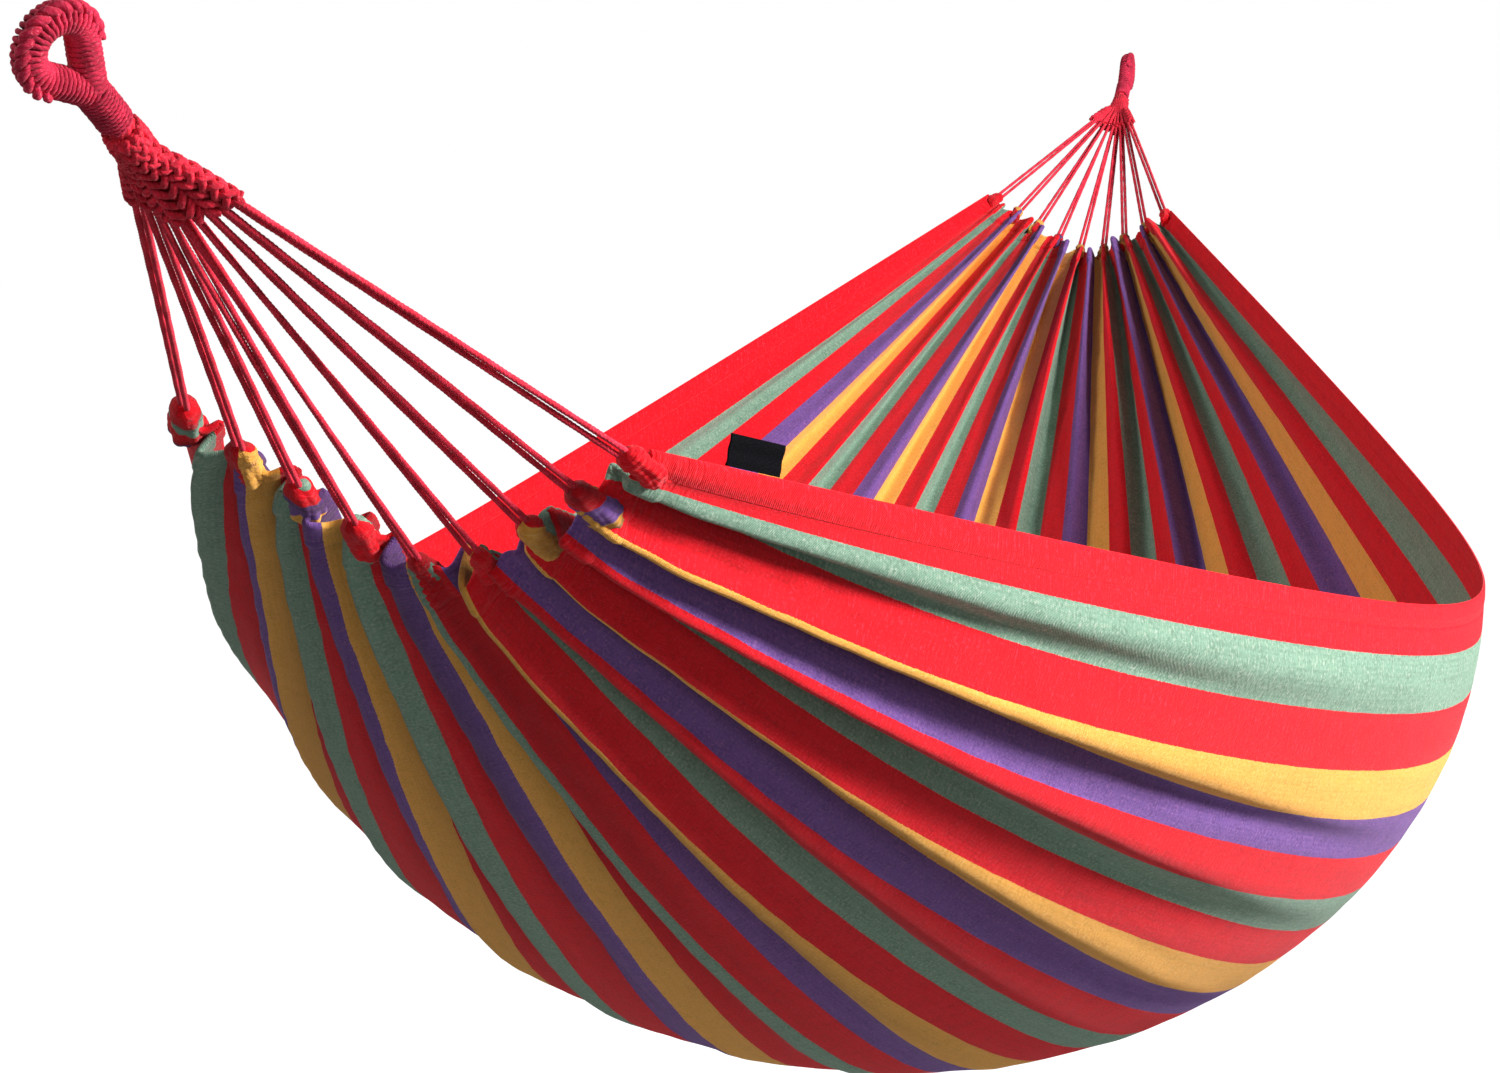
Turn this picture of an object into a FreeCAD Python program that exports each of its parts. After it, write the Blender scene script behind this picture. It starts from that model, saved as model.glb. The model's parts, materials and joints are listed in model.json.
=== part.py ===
"""A cotton rope hammock, gathered at both ends, hung from two eyes.

Each end has a whipped rope eye, a whipped neck, a plaited throat and nine doubled cords
that fan out to an end hem, where each cord passes through a tuft of the gathered cloth.
The bed is one sagging cloth with a folded hem along each side and a small sewn-on tag.

Frame: millimetres, +Z up, +X from the near eye to the far eye, +Y to the left of that
walk. The origin is the centre of the near eye, where the hook carries the hammock.
"""
import FreeCAD, Part
import Sketcher
import math
import os

Vector = FreeCAD.Vector
Rotation = FreeCAD.Rotation
Placement = FreeCAD.Placement

# ---------------------------------------------------------------- driving dimensions
# (alias, value, meaning); lengths in millimetres, angles in degrees
SIZES = [
    ("EyeSpan", 2818, "between the centres of the two eyes"),
    ("EyeLoopRadius", 16, "round end of the eye, to the middle of its rope"),
    ("EyeCrotch", 36, "eye centre to the point where its two legs meet"),
    ("EyeCoreDia", 12, "rope bundle inside the eye"),
    ("WhippingCordDia", 2.3, "thin cord wound round the eye and the neck"),
    ("NeckCoreDia", 15, "rope bundle inside the neck"),
    ("NeckLength", 27, "neck whipping, from the crotch of the eye down"),
    ("NeckRelief", 5.4, "bare rope between the neck whipping and the rounded end"),
    ("NeckBallDia", 16, "rounded end of the neck"),
    ("NeckSlope", 35, "fall of the neck below the level"),
    ("NearEyeTwist", 30, "turn of the near eye about its neck"),
    ("FarEyeTwist", 5, "turn of the far eye about its neck"),
    ("ThroatStart", 1.3, "top of the plaited throat below the middle of the neck end"),
    ("ThroatCollarDia", 22, "plaited throat where it holds the neck end"),
    ("ThroatCollarFlare", 1, "growth of the collar's radius over its length"),
    ("ThroatCollarLength", 25, "solid top of the plaited throat"),
    ("ThroatOverlap", 4, "opened plait that starts inside the collar"),
    ("ThroatLength", 72, "neck end to where the cords come free"),
    ("ThroatWall", 10, "thickness of the plaited throat at its open end"),
    ("CordDia", 4.2, "one leg of a doubled cord"),
    ("CordStagger", 2.9, "each leg of a cord off its middle line, at the throat"),
    ("CordBendRadius", 4.6, "the cord's turn inside a tuft"),
    ("CordSeat", 4, "the cord's turn below the hem line"),
    ("TuftDia", 24, "gathered knob of cloth at each cord"),
    ("TuftRise", 4, "tuft centre above the hem line"),
    ("TuftInset", 12, "first and last tuft in from the sides"),
    ("EndHemWidth", 28, "rolled hem at each end of the cloth"),
    ("EndHemThickness", 6, "rolled hem at each end of the cloth"),
    ("NearHemReach", 365, "near eye to the corners of the near hem, level"),
    ("NearHemBow", 27, "middle of the near hem beyond its corners"),
    ("NearHemHalfWidth", 156, "half the width of the near hem"),
    ("NearHemDrop", 224, "near hem corners below the eyes"),
    ("NearHemDepth", 95, "middle of the near hem below its corners"),
    ("NearHemLean", 16, "left corner above the mean, right corner below"),
    ("FarHemReach", 364, "far eye to the corners of the far hem, level"),
    ("FarHemBow", -23, "middle of the far hem beyond its corners"),
    ("FarHemHalfWidth", 117, "half the width of the far hem"),
    ("FarHemDrop", 167, "far hem corners below the eyes"),
    ("FarHemDepth", 69, "middle of the far hem below its corners"),
    ("FarHemLean", 15, "left corner above the mean, right corner below"),
    ("BedHalfWidth", 574, "half the width across the middle of the bed"),
    ("BedEdgeDrop", 498, "sides of the bed below the eyes, at the middle"),
    ("BedDepth", 470, "lowest line of the bed below its sides"),
    ("ClothThickness", 2.5, "cotton canvas with its weave and creases"),
    ("SideHemWidth", 18, "folded hem along each side"),
    ("SideHemThickness", 3.6, "folded hem along each side"),
    ("SeatGap", 0.3, "clearance between pieces that lie together"),
    ("TagLength", 48, "tag along the side hem"),
    ("TagHeight", 20, "tag standing off the side hem"),
    ("TagThickness", 1.2, "folded tag"),
    ("TagBeadDia", 1.8, "turned lower edge of the tag"),
    ("TagPlace", 95, "near hem to the middle of the tag, along the side"),
]
CORDS = 9                # doubled cords at each end
CROSS_PINCH = 0.105      # how far an end hem is drawn in towards its middle
CROSS_POINT = 0.12       # how pointed the bottom of an end hem is
SAG_POWER = 1.06         # 1 is a straight fall to the middle, 2 is a parabola
SAG_ROUNDING = 0.05      # rounds the lowest point of the sag
LENGTHWISE_STATIONS = 25
CROSSWISE_STATIONS = 17
THROAT_STATIONS = 7
HEM_STATIONS = 4
FOLDS = 13               # lengthwise folds of the gathered cloth
FOLD_START = 0.75        # where across the cloth the first ridge stands, in folds
FOLD_HEIGHT = 0.22       # half the height of a fold where the cloth is gathered, in spacings
FOLD_DRIFT = 0.22        # how far every second fold is drawn aside, in folds
FOLD_STRENGTH = 0.2      # how much higher or lower than the mean a fold is
FOLD_SWAY = 3.9          # waves of that strength across the cloth
FOLD_RISE = 0.2          # from the end hems, share of the span in which a fold rises
FOLD_SIDE = 0.05         # from the side hems, share of the width in which a fold rises
OPENING_POWER = 0.9      # how fast the cloth opens from its hems, set against its sag
POINTS_A_FOLD = 6
ARC_STEPS = 180          # fineness of lengths measured along a curve
TURN_EASE = 0.999        # leaves a trace of straight cord between a turn's two arcs
THROAT_TOP_WALL = 0.45   # wall where the plait leaves its collar, as a share of its full wall
THROAT_INNER_WALL = 0.9  # inner half of that wall, as a share of its outer half

doc = FreeCAD.newDocument("rope_hammock")
sheet = doc.addObject("Spreadsheet::Sheet", "Sizes")
for row, (alias, value, meaning) in enumerate(SIZES, start=1):
    sheet.set(f"A{row}", meaning)
    sheet.set(f"B{row}", str(value))
    sheet.setAlias(f"B{row}", alias)
doc.recompute()


def size(alias):
    """The value of one driving dimension."""
    return float(getattr(sheet, alias))


GAP = size("SeatGap")
ENDS = ("near", "far")
nodes = []               # the finished sub-parts, one for each file


# ---------------------------------------------------------------- the shape of the cloth
def curve_across(angle):
    """Width and depth shares of an end hem at an angle across the cloth."""
    width = math.sin(angle) - CROSS_PINCH * math.sin(3 * angle)
    depth = math.cos(angle) + CROSS_POINT * math.cos(3 * angle)
    return width / (1 + CROSS_PINCH), depth / (1 + CROSS_POINT)


def hem_point(end, angle):
    """Point of an end hem; the angle runs from -90 (right side) to +90 (left side)."""
    name = end.capitalize()
    width, depth = curve_across(angle)
    reach = size(name + "HemReach") + size(name + "HemBow") * depth
    drop = size(name + "HemDrop") + size(name + "HemDepth") * depth
    height = size(name + "HemLean") * math.sin(angle) - drop
    across = size(name + "HemHalfWidth") * width
    return Vector(reach if end == "near" else size("EyeSpan") - reach, across, height)


def middle_point(angle):
    """Point of the cross-section half-way along the bed."""
    return Vector(
        size("EyeSpan") / 2,
        size("BedHalfWidth") * math.sin(angle),
        -size("BedEdgeDrop") - size("BedDepth") * math.cos(angle),
    )


def sag_share(along):
    """0 at both end hems and 1 half-way, with a rounded lowest point."""
    offset = 2 * along - 1
    rounded = ((offset * offset + SAG_ROUNDING) / (1 + SAG_ROUNDING)) ** (SAG_POWER / 2)
    lowest = (SAG_ROUNDING / (1 + SAG_ROUNDING)) ** (SAG_POWER / 2)
    return (1 - rounded) / (1 - lowest)


def cloth_point(along, angle):
    """Point of the cloth's middle surface, along from 0 (near) to 1 (far)."""
    near = hem_point("near", angle)
    far = hem_point("far", angle)
    sag = middle_point(angle) - (near + far) * 0.5
    return near * (1 - along) + far * along + sag * sag_share(along)


def cloth_normal(along, angle):
    """Unit vector out of the cloth, away from the person lying in it."""
    step = 1e-4
    lengthwise = cloth_point(along + step, angle) - cloth_point(along - step, angle)
    crosswise = cloth_point(along, angle + step) - cloth_point(along, angle - step)
    return crosswise.cross(lengthwise).normalize()


def lengths_along(points):
    """Running length along a list of points."""
    total = [0.0]
    for first, second in zip(points, points[1:]):
        total.append(total[-1] + first.distanceToPoint(second))
    return total


def place_at(lengths, values, distance):
    """The value where the running length reaches a distance."""
    for index in range(1, len(lengths)):
        if lengths[index] >= distance:
            share = (distance - lengths[index - 1]) / (lengths[index] - lengths[index - 1])
            return values[index - 1] + share * (values[index] - values[index - 1])
    return values[-1]


def angle_in_from_side(along, side, distance):
    """Angle of the line a distance in from one side; side is -1 right or +1 left."""
    angles = [side * math.pi / 2 * (1 - step / ARC_STEPS) for step in range(ARC_STEPS + 1)]
    points = [cloth_point(along, angle) for angle in angles]
    return place_at(lengths_along(points), angles, distance)


def along_from_end(end, angle, distance):
    """Share of the length a distance in from one end hem."""
    start = 0.0 if end == "near" else 1.0
    shares = [abs(start - 0.5 * step / ARC_STEPS) for step in range(ARC_STEPS + 1)]
    points = [cloth_point(share, angle) for share in shares]
    return place_at(lengths_along(points), shares, distance)


def spread(first, last, count):
    """Evenly spaced values from first to last."""
    return [first + (last - first) * index / (count - 1) for index in range(count)]


# ---------------------------------------------------------------- how the cloth folds
def crossing(curve):
    """Angles from the left side to the right, and a curve's running length at each."""
    angles = spread(math.pi / 2, -math.pi / 2, ARC_STEPS + 1)
    return angles, lengths_along([curve(angle) for angle in angles])


NEAR_CROSSING = crossing(lambda angle: hem_point("near", angle))
FAR_CROSSING = crossing(lambda angle: hem_point("far", angle))
MIDDLE_CROSSING = crossing(middle_point)


def opening(along):
    """How far the cross-section has opened from an end hem to the middle, 0 to 1."""
    return max(sag_share(along), 0) ** OPENING_POWER


def cloth_width(along):
    """Width of the smooth cloth, measured along its cross-section."""
    hem = NEAR_CROSSING[1][-1] * (1 - along) + FAR_CROSSING[1][-1] * along
    return hem + (MIDDLE_CROSSING[1][-1] - hem) * opening(along)


def angle_at_share(along, share):
    """Angle at a share of the cloth's width, from 0 (left side) to 1 (right side)."""
    near, far, middle = (
        place_at(lengths, angles, share * lengths[-1])
        for angles, lengths in (NEAR_CROSSING, FAR_CROSSING, MIDDLE_CROSSING)
    )
    hem = near * (1 - along) + far * along
    return hem + (middle - hem) * opening(along)


def eased(value, last):
    """0 at nothing, 1 from the last value on, smooth between."""
    share = min(max(value / last, 0), 1)
    return share * share * (3 - 2 * share)


def fold_push(along, share):
    """How far a fold lifts the cloth off its smooth shape, away from whoever lies in it."""
    from_hem = min(along, 1 - along) - size("EndHemWidth") / size("EyeSpan")
    spacing = (cloth_width(along) - 2 * size("SideHemWidth")) / FOLDS
    number = FOLDS * share - FOLD_START
    aside = FOLD_DRIFT * math.cos(math.pi * share) * (1 - math.cos(math.pi * number)) / 2
    strength = 1 + FOLD_STRENGTH * math.sin(2 * math.pi * FOLD_SWAY * share + math.pi * along)
    rise = eased(from_hem, FOLD_RISE) * eased(share, FOLD_SIDE) * eased(1 - share, FOLD_SIDE)
    height = FOLD_HEIGHT * spacing * (1 - opening(along)) * strength * rise
    return height * (1 + math.cos(2 * math.pi * (number - aside)))


# ---------------------------------------------------------------- solids from grids
def skinned_solid(outer, inner):
    """Solid between two grids of points, closed by ruled strips round its rim."""
    surfaces = []
    for grid in (outer, inner):
        surface = Part.BSplineSurface()
        surface.interpolate(grid)
        surfaces.append(surface)
    faces = [surface.toShape() for surface in surfaces]
    u_first, u_last, v_first, v_last = surfaces[0].bounds()
    u_first_in, u_last_in, v_first_in, v_last_in = surfaces[1].bounds()
    rims = [
        (surfaces[0].uIso(u_first), surfaces[1].uIso(u_first_in)),
        (surfaces[0].uIso(u_last), surfaces[1].uIso(u_last_in)),
        (surfaces[0].vIso(v_first), surfaces[1].vIso(v_first_in)),
        (surfaces[0].vIso(v_last), surfaces[1].vIso(v_last_in)),
    ]
    for outer_rim, inner_rim in rims:
        faces.append(Part.makeRuledSurface(outer_rim.toShape(), inner_rim.toShape()))
    shell = Part.makeShell(faces)
    shell.sewShape()
    solid = Part.makeSolid(Part.Shell(shell.Faces))
    if solid.Volume < 0:
        solid.reverse()
    return solid


def folded_solid(rows, thickness):
    """Solid of one thickness on a grid of places, each an along, an angle and a push."""
    middle = [[cloth_point(along, angle) + cloth_normal(along, angle) * push
               for along, angle, push in row] for row in rows]
    outer = []
    inner = []
    for index, row in enumerate(rows):
        outer.append([])
        inner.append([])
        for column, (along, angle, _) in enumerate(row):
            point = middle[index][column]
            if 0 < index < len(rows) - 1 and 0 < column < len(row) - 1:
                crosswise = middle[index][column - 1] - middle[index][column + 1]
                lengthwise = middle[index + 1][column] - middle[index - 1][column]
                normal = crosswise.cross(lengthwise).normalize()
            else:
                normal = cloth_normal(along, angle)
            outer[-1].append(point + normal * thickness / 2)
            inner[-1].append(point - normal * thickness / 2)
    return skinned_solid(outer, inner)


def cloth_solid(rows, thickness):
    """Solid of one thickness on the cloth's surface; rows hold (along, angle) pairs."""
    outer = []
    inner = []
    for row in rows:
        outer.append([cloth_point(*place) + cloth_normal(*place) * thickness / 2 for place in row])
        inner.append([cloth_point(*place) - cloth_normal(*place) * thickness / 2 for place in row])
    return skinned_solid(outer, inner)


# ---------------------------------------------------------------- round cord along runs
def rounded_wire(points, radius):
    """Straight runs joined by tangent arcs of one radius."""
    edges = []
    start = points[0]
    for before, corner, after in zip(points, points[1:], points[2:]):
        back = (before - corner).normalize()
        ahead = (after - corner).normalize()
        half_turn = (math.pi - back.getAngle(ahead)) / 2
        reach = radius * math.tan(half_turn)
        bisector = (back + ahead).normalize()
        first = corner + back * reach
        last = corner + ahead * reach
        centre = corner + bisector * (radius / math.cos(half_turn))
        if start.distanceToPoint(first) > 1e-6:
            edges.append(Part.LineSegment(start, first).toShape())
        edges.append(Part.Arc(first, centre - bisector * radius, last).toShape())
        start = last
    edges.append(Part.LineSegment(start, points[-1]).toShape())
    return Part.Wire(edges)


def tube(wire, diameter):
    """Round bar along a wire."""
    start = wire.Edges[0].Vertexes[0].Point
    heading = wire.Edges[0].Vertexes[-1].Point - start
    circle = Part.Circle(start, heading, diameter / 2).toShape()
    solid = wire.makePipeShell([Part.Wire([circle])], True, False)
    if solid.Volume < 0:
        solid.reverse()
    return solid


def add_feature(label, shape):
    """A sub-part whose shape is worked out in code from the sheet's sizes."""
    feature = doc.addObject("Part::Feature", label)
    feature.Label = label
    feature.Shape = shape
    nodes.append(feature)
    return feature


# ---------------------------------------------------------------- the two end frames
def eye_centre(end):
    return Vector(0 if end == "near" else size("EyeSpan"), 0, 0)


def pivot_reach():
    """Eye centre to the middle of the rounded neck end."""
    return size("EyeCrotch") + size("NeckLength") + size("NeckRelief")


def neck_axis(end):
    """Unit vector from the eye down its neck, towards the bed."""
    slope = math.radians(size("NeckSlope"))
    forward = 1 if end == "near" else -1
    return Vector(forward * math.cos(slope), 0, -math.sin(slope))


def pivot_point(end):
    """Middle of the rounded neck end; the bed swings about the line through both."""
    return eye_centre(end) + neck_axis(end) * pivot_reach()


def eye_placement(end):
    """Places a piece drawn with its neck along +X and its loop in the XY plane."""
    axis = neck_axis(end)
    level = Rotation(axis, Vector(0, -1, 0), axis.cross(Vector(0, -1, 0)), "XYZ")
    stand = Rotation(Vector(1, 0, 0), 90)
    twist = Rotation(Vector(1, 0, 0), size(end.capitalize() + "EyeTwist"))
    if end == "far":
        twist = twist.inverted()
    return Placement(eye_centre(end), level.multiply(stand.multiply(twist)))


# ---------------------------------------------------------------- eyes and necks
def eye_loop(name, radius_expression, neck_radius_expression, neck_reach_expression):
    """Teardrop rope loop and its neck, as a fused group of primitives."""
    crotch_angle = "asin(Sizes.EyeLoopRadius / Sizes.EyeCrotch)"
    bend = doc.addObject("Part::Torus", name + "_bend")
    bend.setExpression("Radius1", "Sizes.EyeLoopRadius")
    bend.setExpression("Radius2", radius_expression)
    bend.Angle1 = -180
    bend.Angle2 = 180
    bend.setExpression("Angle3", f"180 deg + 2 * {crotch_angle}")
    half_angle = math.degrees(math.asin(size("EyeLoopRadius") / size("EyeCrotch")))
    bend.Placement = Placement(Vector(), Rotation(Vector(0, 0, 1), 90 - half_angle))
    pieces = [bend]
    for side in (1, -1):
        leg = doc.addObject("Part::Cylinder", f"{name}_leg_{'left' if side > 0 else 'right'}")
        leg.setExpression("Radius", radius_expression)
        leg.setExpression("Height", "sqrt(Sizes.EyeCrotch ^ 2 - Sizes.EyeLoopRadius ^ 2)")
        tangent = math.radians(90 - half_angle)
        start = Vector(math.cos(tangent), side * math.sin(tangent), 0) * size("EyeLoopRadius")
        heading = Vector(size("EyeCrotch"), 0, 0) - start
        leg.Placement = Placement(start, Rotation(Vector(0, 0, 1), heading))
        pieces.append(leg)
    neck = doc.addObject("Part::Cylinder", name + "_neck")
    neck.setExpression("Radius", neck_radius_expression)
    neck.setExpression("Height", neck_reach_expression)
    neck.Placement = Placement(Vector(size("EyeCrotch"), 0, 0), Rotation(Vector(0, 1, 0), 90))
    pieces.append(neck)
    return pieces


def fuse(label, pieces):
    group = doc.addObject("Part::MultiFuse", label)
    group.Shapes = pieces
    group.Refine = False
    return group


def make_eye_core(end):
    """Bundle of all the cord legs: round the eye, down the neck, to a rounded end."""
    label = end + "_eye_core"
    pieces = eye_loop(label, "Sizes.EyeCoreDia / 2", "Sizes.NeckCoreDia / 2",
                      "Sizes.NeckLength + Sizes.NeckRelief")
    ball = doc.addObject("Part::Sphere", label + "_ball")
    ball.setExpression("Radius", "Sizes.NeckBallDia / 2")
    ball.Placement = Placement(Vector(pivot_reach(), 0, 0), Rotation())
    core = fuse(label, pieces + [ball])
    core.Label = label
    core.Placement = eye_placement(end)
    nodes.append(core)


def make_eye_whipping(end):
    """Wound cord round the whole loop, down to the top of the neck whipping."""
    label = end + "_eye_whipping"
    inside = "Sizes.EyeCoreDia / 2 + Sizes.SeatGap"
    outside = inside + " + Sizes.WhippingCordDia"
    solid = fuse(label + "_solid", eye_loop(label + "_outer", outside, outside,
                                            "Sizes.SeatGap"))
    hollow = fuse(label + "_hollow", eye_loop(
        label + "_inner", inside, "Sizes.NeckCoreDia / 2 + Sizes.SeatGap", "Sizes.NeckLength"))
    bored = doc.addObject("Part::Cut", label + "_bored")
    bored.Base = solid
    bored.Tool = hollow
    below = doc.addObject("Part::Box", label + "_below")
    for side in ("Length", "Width", "Height"):
        below.setExpression(side, "4 * Sizes.EyeCrotch")
    reach = 2 * size("EyeCrotch")
    below.Placement = Placement(Vector(size("EyeCrotch") - GAP, -reach, -reach), Rotation())
    whipping = doc.addObject("Part::Cut", label)
    whipping.Base = bored
    whipping.Tool = below
    whipping.Label = label
    whipping.Placement = eye_placement(end)
    nodes.append(whipping)


def add_named(sketch, constraint, name, expression):
    """Adds a dimension to a sketch and binds it to the sheet."""
    index = sketch.addConstraint(constraint)
    sketch.renameConstraint(index, name)
    sketch.setExpression("Constraints." + name, expression)


def origin_feature(body, role):
    return next(f for f in body.Origin.OriginFeatures if f.Role == role)


def make_neck_whipping(end):
    """Tight winding round the neck, turned about the neck's axis."""
    label = end + "_neck_whipping"
    body = doc.addObject("PartDesign::Body", label)
    body.Label = label
    sketch = body.newObject("Sketcher::SketchObject", label + "_profile")
    sketch.AttachmentSupport = [(origin_feature(body, "XY_Plane"), "")]
    sketch.MapMode = "FlatFace"
    inner = size("NeckCoreDia") / 2 + GAP
    outer = inner + size("WhippingCordDia")
    start = size("EyeCrotch")
    stop = start + size("NeckLength")
    corners = [Vector(start, inner, 0), Vector(stop, inner, 0),
               Vector(stop, outer, 0), Vector(start, outer, 0)]
    for index in range(4):
        sketch.addGeometry(Part.LineSegment(corners[index], corners[(index + 1) % 4]), False)
    for index in range(4):
        sketch.addConstraint(Sketcher.Constraint("Coincident", index, 2, (index + 1) % 4, 1))
    for index, kind in enumerate(("Horizontal", "Vertical", "Horizontal", "Vertical")):
        sketch.addConstraint(Sketcher.Constraint(kind, index))
    add_named(sketch, Sketcher.Constraint("DistanceX", -1, 1, 0, 1, start), "begin",
              "Sizes.EyeCrotch")
    add_named(sketch, Sketcher.Constraint("DistanceX", 0, 1, 0, 2, stop - start), "run",
              "Sizes.NeckLength")
    add_named(sketch, Sketcher.Constraint("DistanceY", -1, 1, 0, 1, inner), "bore",
              "Sizes.NeckCoreDia / 2 + Sizes.SeatGap")
    add_named(sketch, Sketcher.Constraint("DistanceY", 1, 1, 1, 2, outer - inner), "winding",
              "Sizes.WhippingCordDia")
    doc.recompute()
    turn = body.newObject("PartDesign::Revolution", label + "_turned")
    turn.Profile = sketch
    turn.ReferenceAxis = (sketch, ["H_Axis"])
    turn.Angle = 360
    body.Tip = turn
    body.Placement = eye_placement(end)
    nodes.append(body)


# ---------------------------------------------------------------- the fan of cords
def hem_angles(end):
    """Angles across the cloth of the nine cords, evenly spaced along the hem."""
    angles = [math.pi * (0.5 - step / ARC_STEPS) for step in range(ARC_STEPS + 1)]
    lengths = lengths_along([hem_point(end, angle) for angle in angles])
    inset = size("TuftInset")
    places = spread(inset, lengths[-1] - inset, CORDS)
    return [place_at(lengths, angles, place) for place in places]


def fan_axis(end):
    """Unit vector down the middle of the fan, from the neck end."""
    corners = (hem_point(end, math.pi / 2) + hem_point(end, -math.pi / 2)) * 0.5
    middle = (corners + hem_point(end, 0)) * 0.5
    return (middle - pivot_point(end)).normalize()


def fan_point(end, angle, depth):
    """Where the line from the neck end to the hem passes a depth down the fan."""
    line = hem_point(end, angle) - pivot_point(end)
    return pivot_point(end) + line * (depth / line.dot(fan_axis(end)))


def fan_outward(end, angle):
    """Unit vector out of the fan, square to its axis."""
    depth = size("ThroatLength")
    corners = (fan_point(end, math.pi / 2, depth) + fan_point(end, -math.pi / 2, depth)) * 0.5
    return (fan_point(end, angle, depth) - corners).normalize()


def hem_tangent(end, angle):
    """Unit vector along the end hem, towards the left side."""
    step = 1e-4
    return (hem_point(end, angle + step) - hem_point(end, angle - step)).normalize()


def cord_corners(end, angle):
    """Down one leg, round the turn inside the tuft, and up the other leg."""
    seat = hem_point(end, angle)
    heading = (seat - pivot_point(end)).normalize()
    tangent = hem_tangent(end, angle)
    sideways = (tangent - heading * tangent.dot(heading)).normalize()
    bottom = seat + heading * size("CordSeat")
    stagger = fan_outward(end, angle) * size("CordStagger")
    if stagger.dot(sideways) < 0:
        stagger = stagger * -1       # so that the two legs never cross
    tilt = heading.getAngle(fan_axis(end))
    clear = GAP + size("CordDia") / 2 * math.sin(tilt)
    top = fan_point(end, angle, size("ThroatLength") + clear)
    first = top + stagger
    last = top - stagger
    left = bottom + sideways * size("CordBendRadius")
    right = bottom - sideways * size("CordBendRadius")
    return [first, left, right, last]


def bend_radius(corners):
    """Radius that lets the two corners of a doubled cord share one round turn."""
    first, left, right, last = corners
    turns = [math.pi - (first - left).getAngle(right - left),
             math.pi - (left - right).getAngle(last - right)]
    return (left - right).Length / sum(math.tan(turn / 2) for turn in turns) * TURN_EASE


def cord_solid(end, angle, diameter):
    corners = cord_corners(end, angle)
    return tube(rounded_wire(corners, bend_radius(corners)), diameter)


def make_cords(end):
    """Nine doubled cords, numbered from the left side to the right."""
    for number, angle in enumerate(hem_angles(end), start=1):
        corners = cord_corners(end, angle)
        wire = rounded_wire(corners, bend_radius(corners))
        solid = tube(wire, size("CordDia"))
        section = math.pi * size("CordDia") ** 2 / 4
        print(f"{end}_cord_{number}: wire {wire.Length:.1f} mm, turn {bend_radius(corners):.2f} mm, "
              f"volume / (section x length) {solid.Volume / (section * wire.Length):.4f}")
        add_feature(f"{end}_cord_{number}", solid)


def make_throat(end):
    """Plaited throat: a collar round the neck end, opening into a trough of cords."""
    axis = fan_axis(end)
    pivot = pivot_point(end)
    collar_start = size("ThroatStart")
    collar_length = size("ThroatCollarLength") - collar_start
    radius = size("ThroatCollarDia") / 2
    flared = radius + size("ThroatCollarFlare")
    collar = Part.makeCone(radius, flared, collar_length, pivot + axis * collar_start, axis)
    opening = size("ThroatCollarLength") - size("ThroatOverlap")
    outer = []
    inner = []
    for depth in spread(opening, size("ThroatLength"), THROAT_STATIONS):
        widening = THROAT_TOP_WALL + (1 - THROAT_TOP_WALL) * depth / size("ThroatLength")
        half_wall = size("ThroatWall") / 2 * widening
        outer.append([])
        inner.append([])
        for angle in spread(-math.pi / 2, math.pi / 2, CROSSWISE_STATIONS):
            middle = fan_point(end, angle, depth)
            outward = fan_outward(end, angle)
            outer[-1].append(middle + outward * half_wall)
            inner[-1].append(middle - outward * half_wall * THROAT_INNER_WALL)
    throat = collar.fuse(skinned_solid(outer, inner))
    socket = Part.makeSphere(size("NeckBallDia") / 2 + GAP, pivot)
    add_feature(end + "_throat_weave", throat.cut(socket))


# ---------------------------------------------------------------- cloth and its hems
def folded_rows():
    """The folded cloth's grid: between the end hems and, exactly, between the side hems."""
    ends = size("EndHemWidth") + GAP
    inset = size("SideHemWidth") + GAP
    shares = spread(0, 1, FOLDS * POINTS_A_FOLD + 1)
    first = [along_from_end("near", angle_at_share(0, share), ends) for share in shares]
    last = [along_from_end("far", angle_at_share(1, share), ends) for share in shares]
    middle = len(shares) // 2
    rows = []
    for station in spread(0, 1, LENGTHWISE_STATIONS):
        level = first[middle] * (1 - station) + last[middle] * station
        left = angle_in_from_side(level, 1, inset)
        right = angle_in_from_side(level, -1, inset)
        margin = inset / cloth_width(level)
        left_slip = left - angle_at_share(level, margin)
        right_slip = right - angle_at_share(level, 1 - margin)
        row = []
        for share, near_end, far_end in zip(shares, first, last):
            along = near_end * (1 - station) + far_end * station
            angle = angle_at_share(along, margin + share * (1 - 2 * margin))
            angle += left_slip * (1 - share) + right_slip * share
            row.append((along, angle, fold_push(along, share)))
        rows.append(row)
    return rows


def make_bed_cloth():
    add_feature("bed_cloth", folded_solid(folded_rows(), size("ClothThickness")))


def make_side_hem(name, side):
    """Folded hem along one side, between the two end hems."""
    ends = size("EndHemWidth") + GAP
    rows = []
    first = along_from_end("near", side * math.pi / 2, ends)
    last = along_from_end("far", side * math.pi / 2, ends)
    for along in spread(first, last, LENGTHWISE_STATIONS):
        inner = angle_in_from_side(along, side, size("SideHemWidth"))
        rows.append([(along, angle) for angle in spread(inner, side * math.pi / 2, HEM_STATIONS)])
    add_feature(name, cloth_solid(rows, size("SideHemThickness")))


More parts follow.
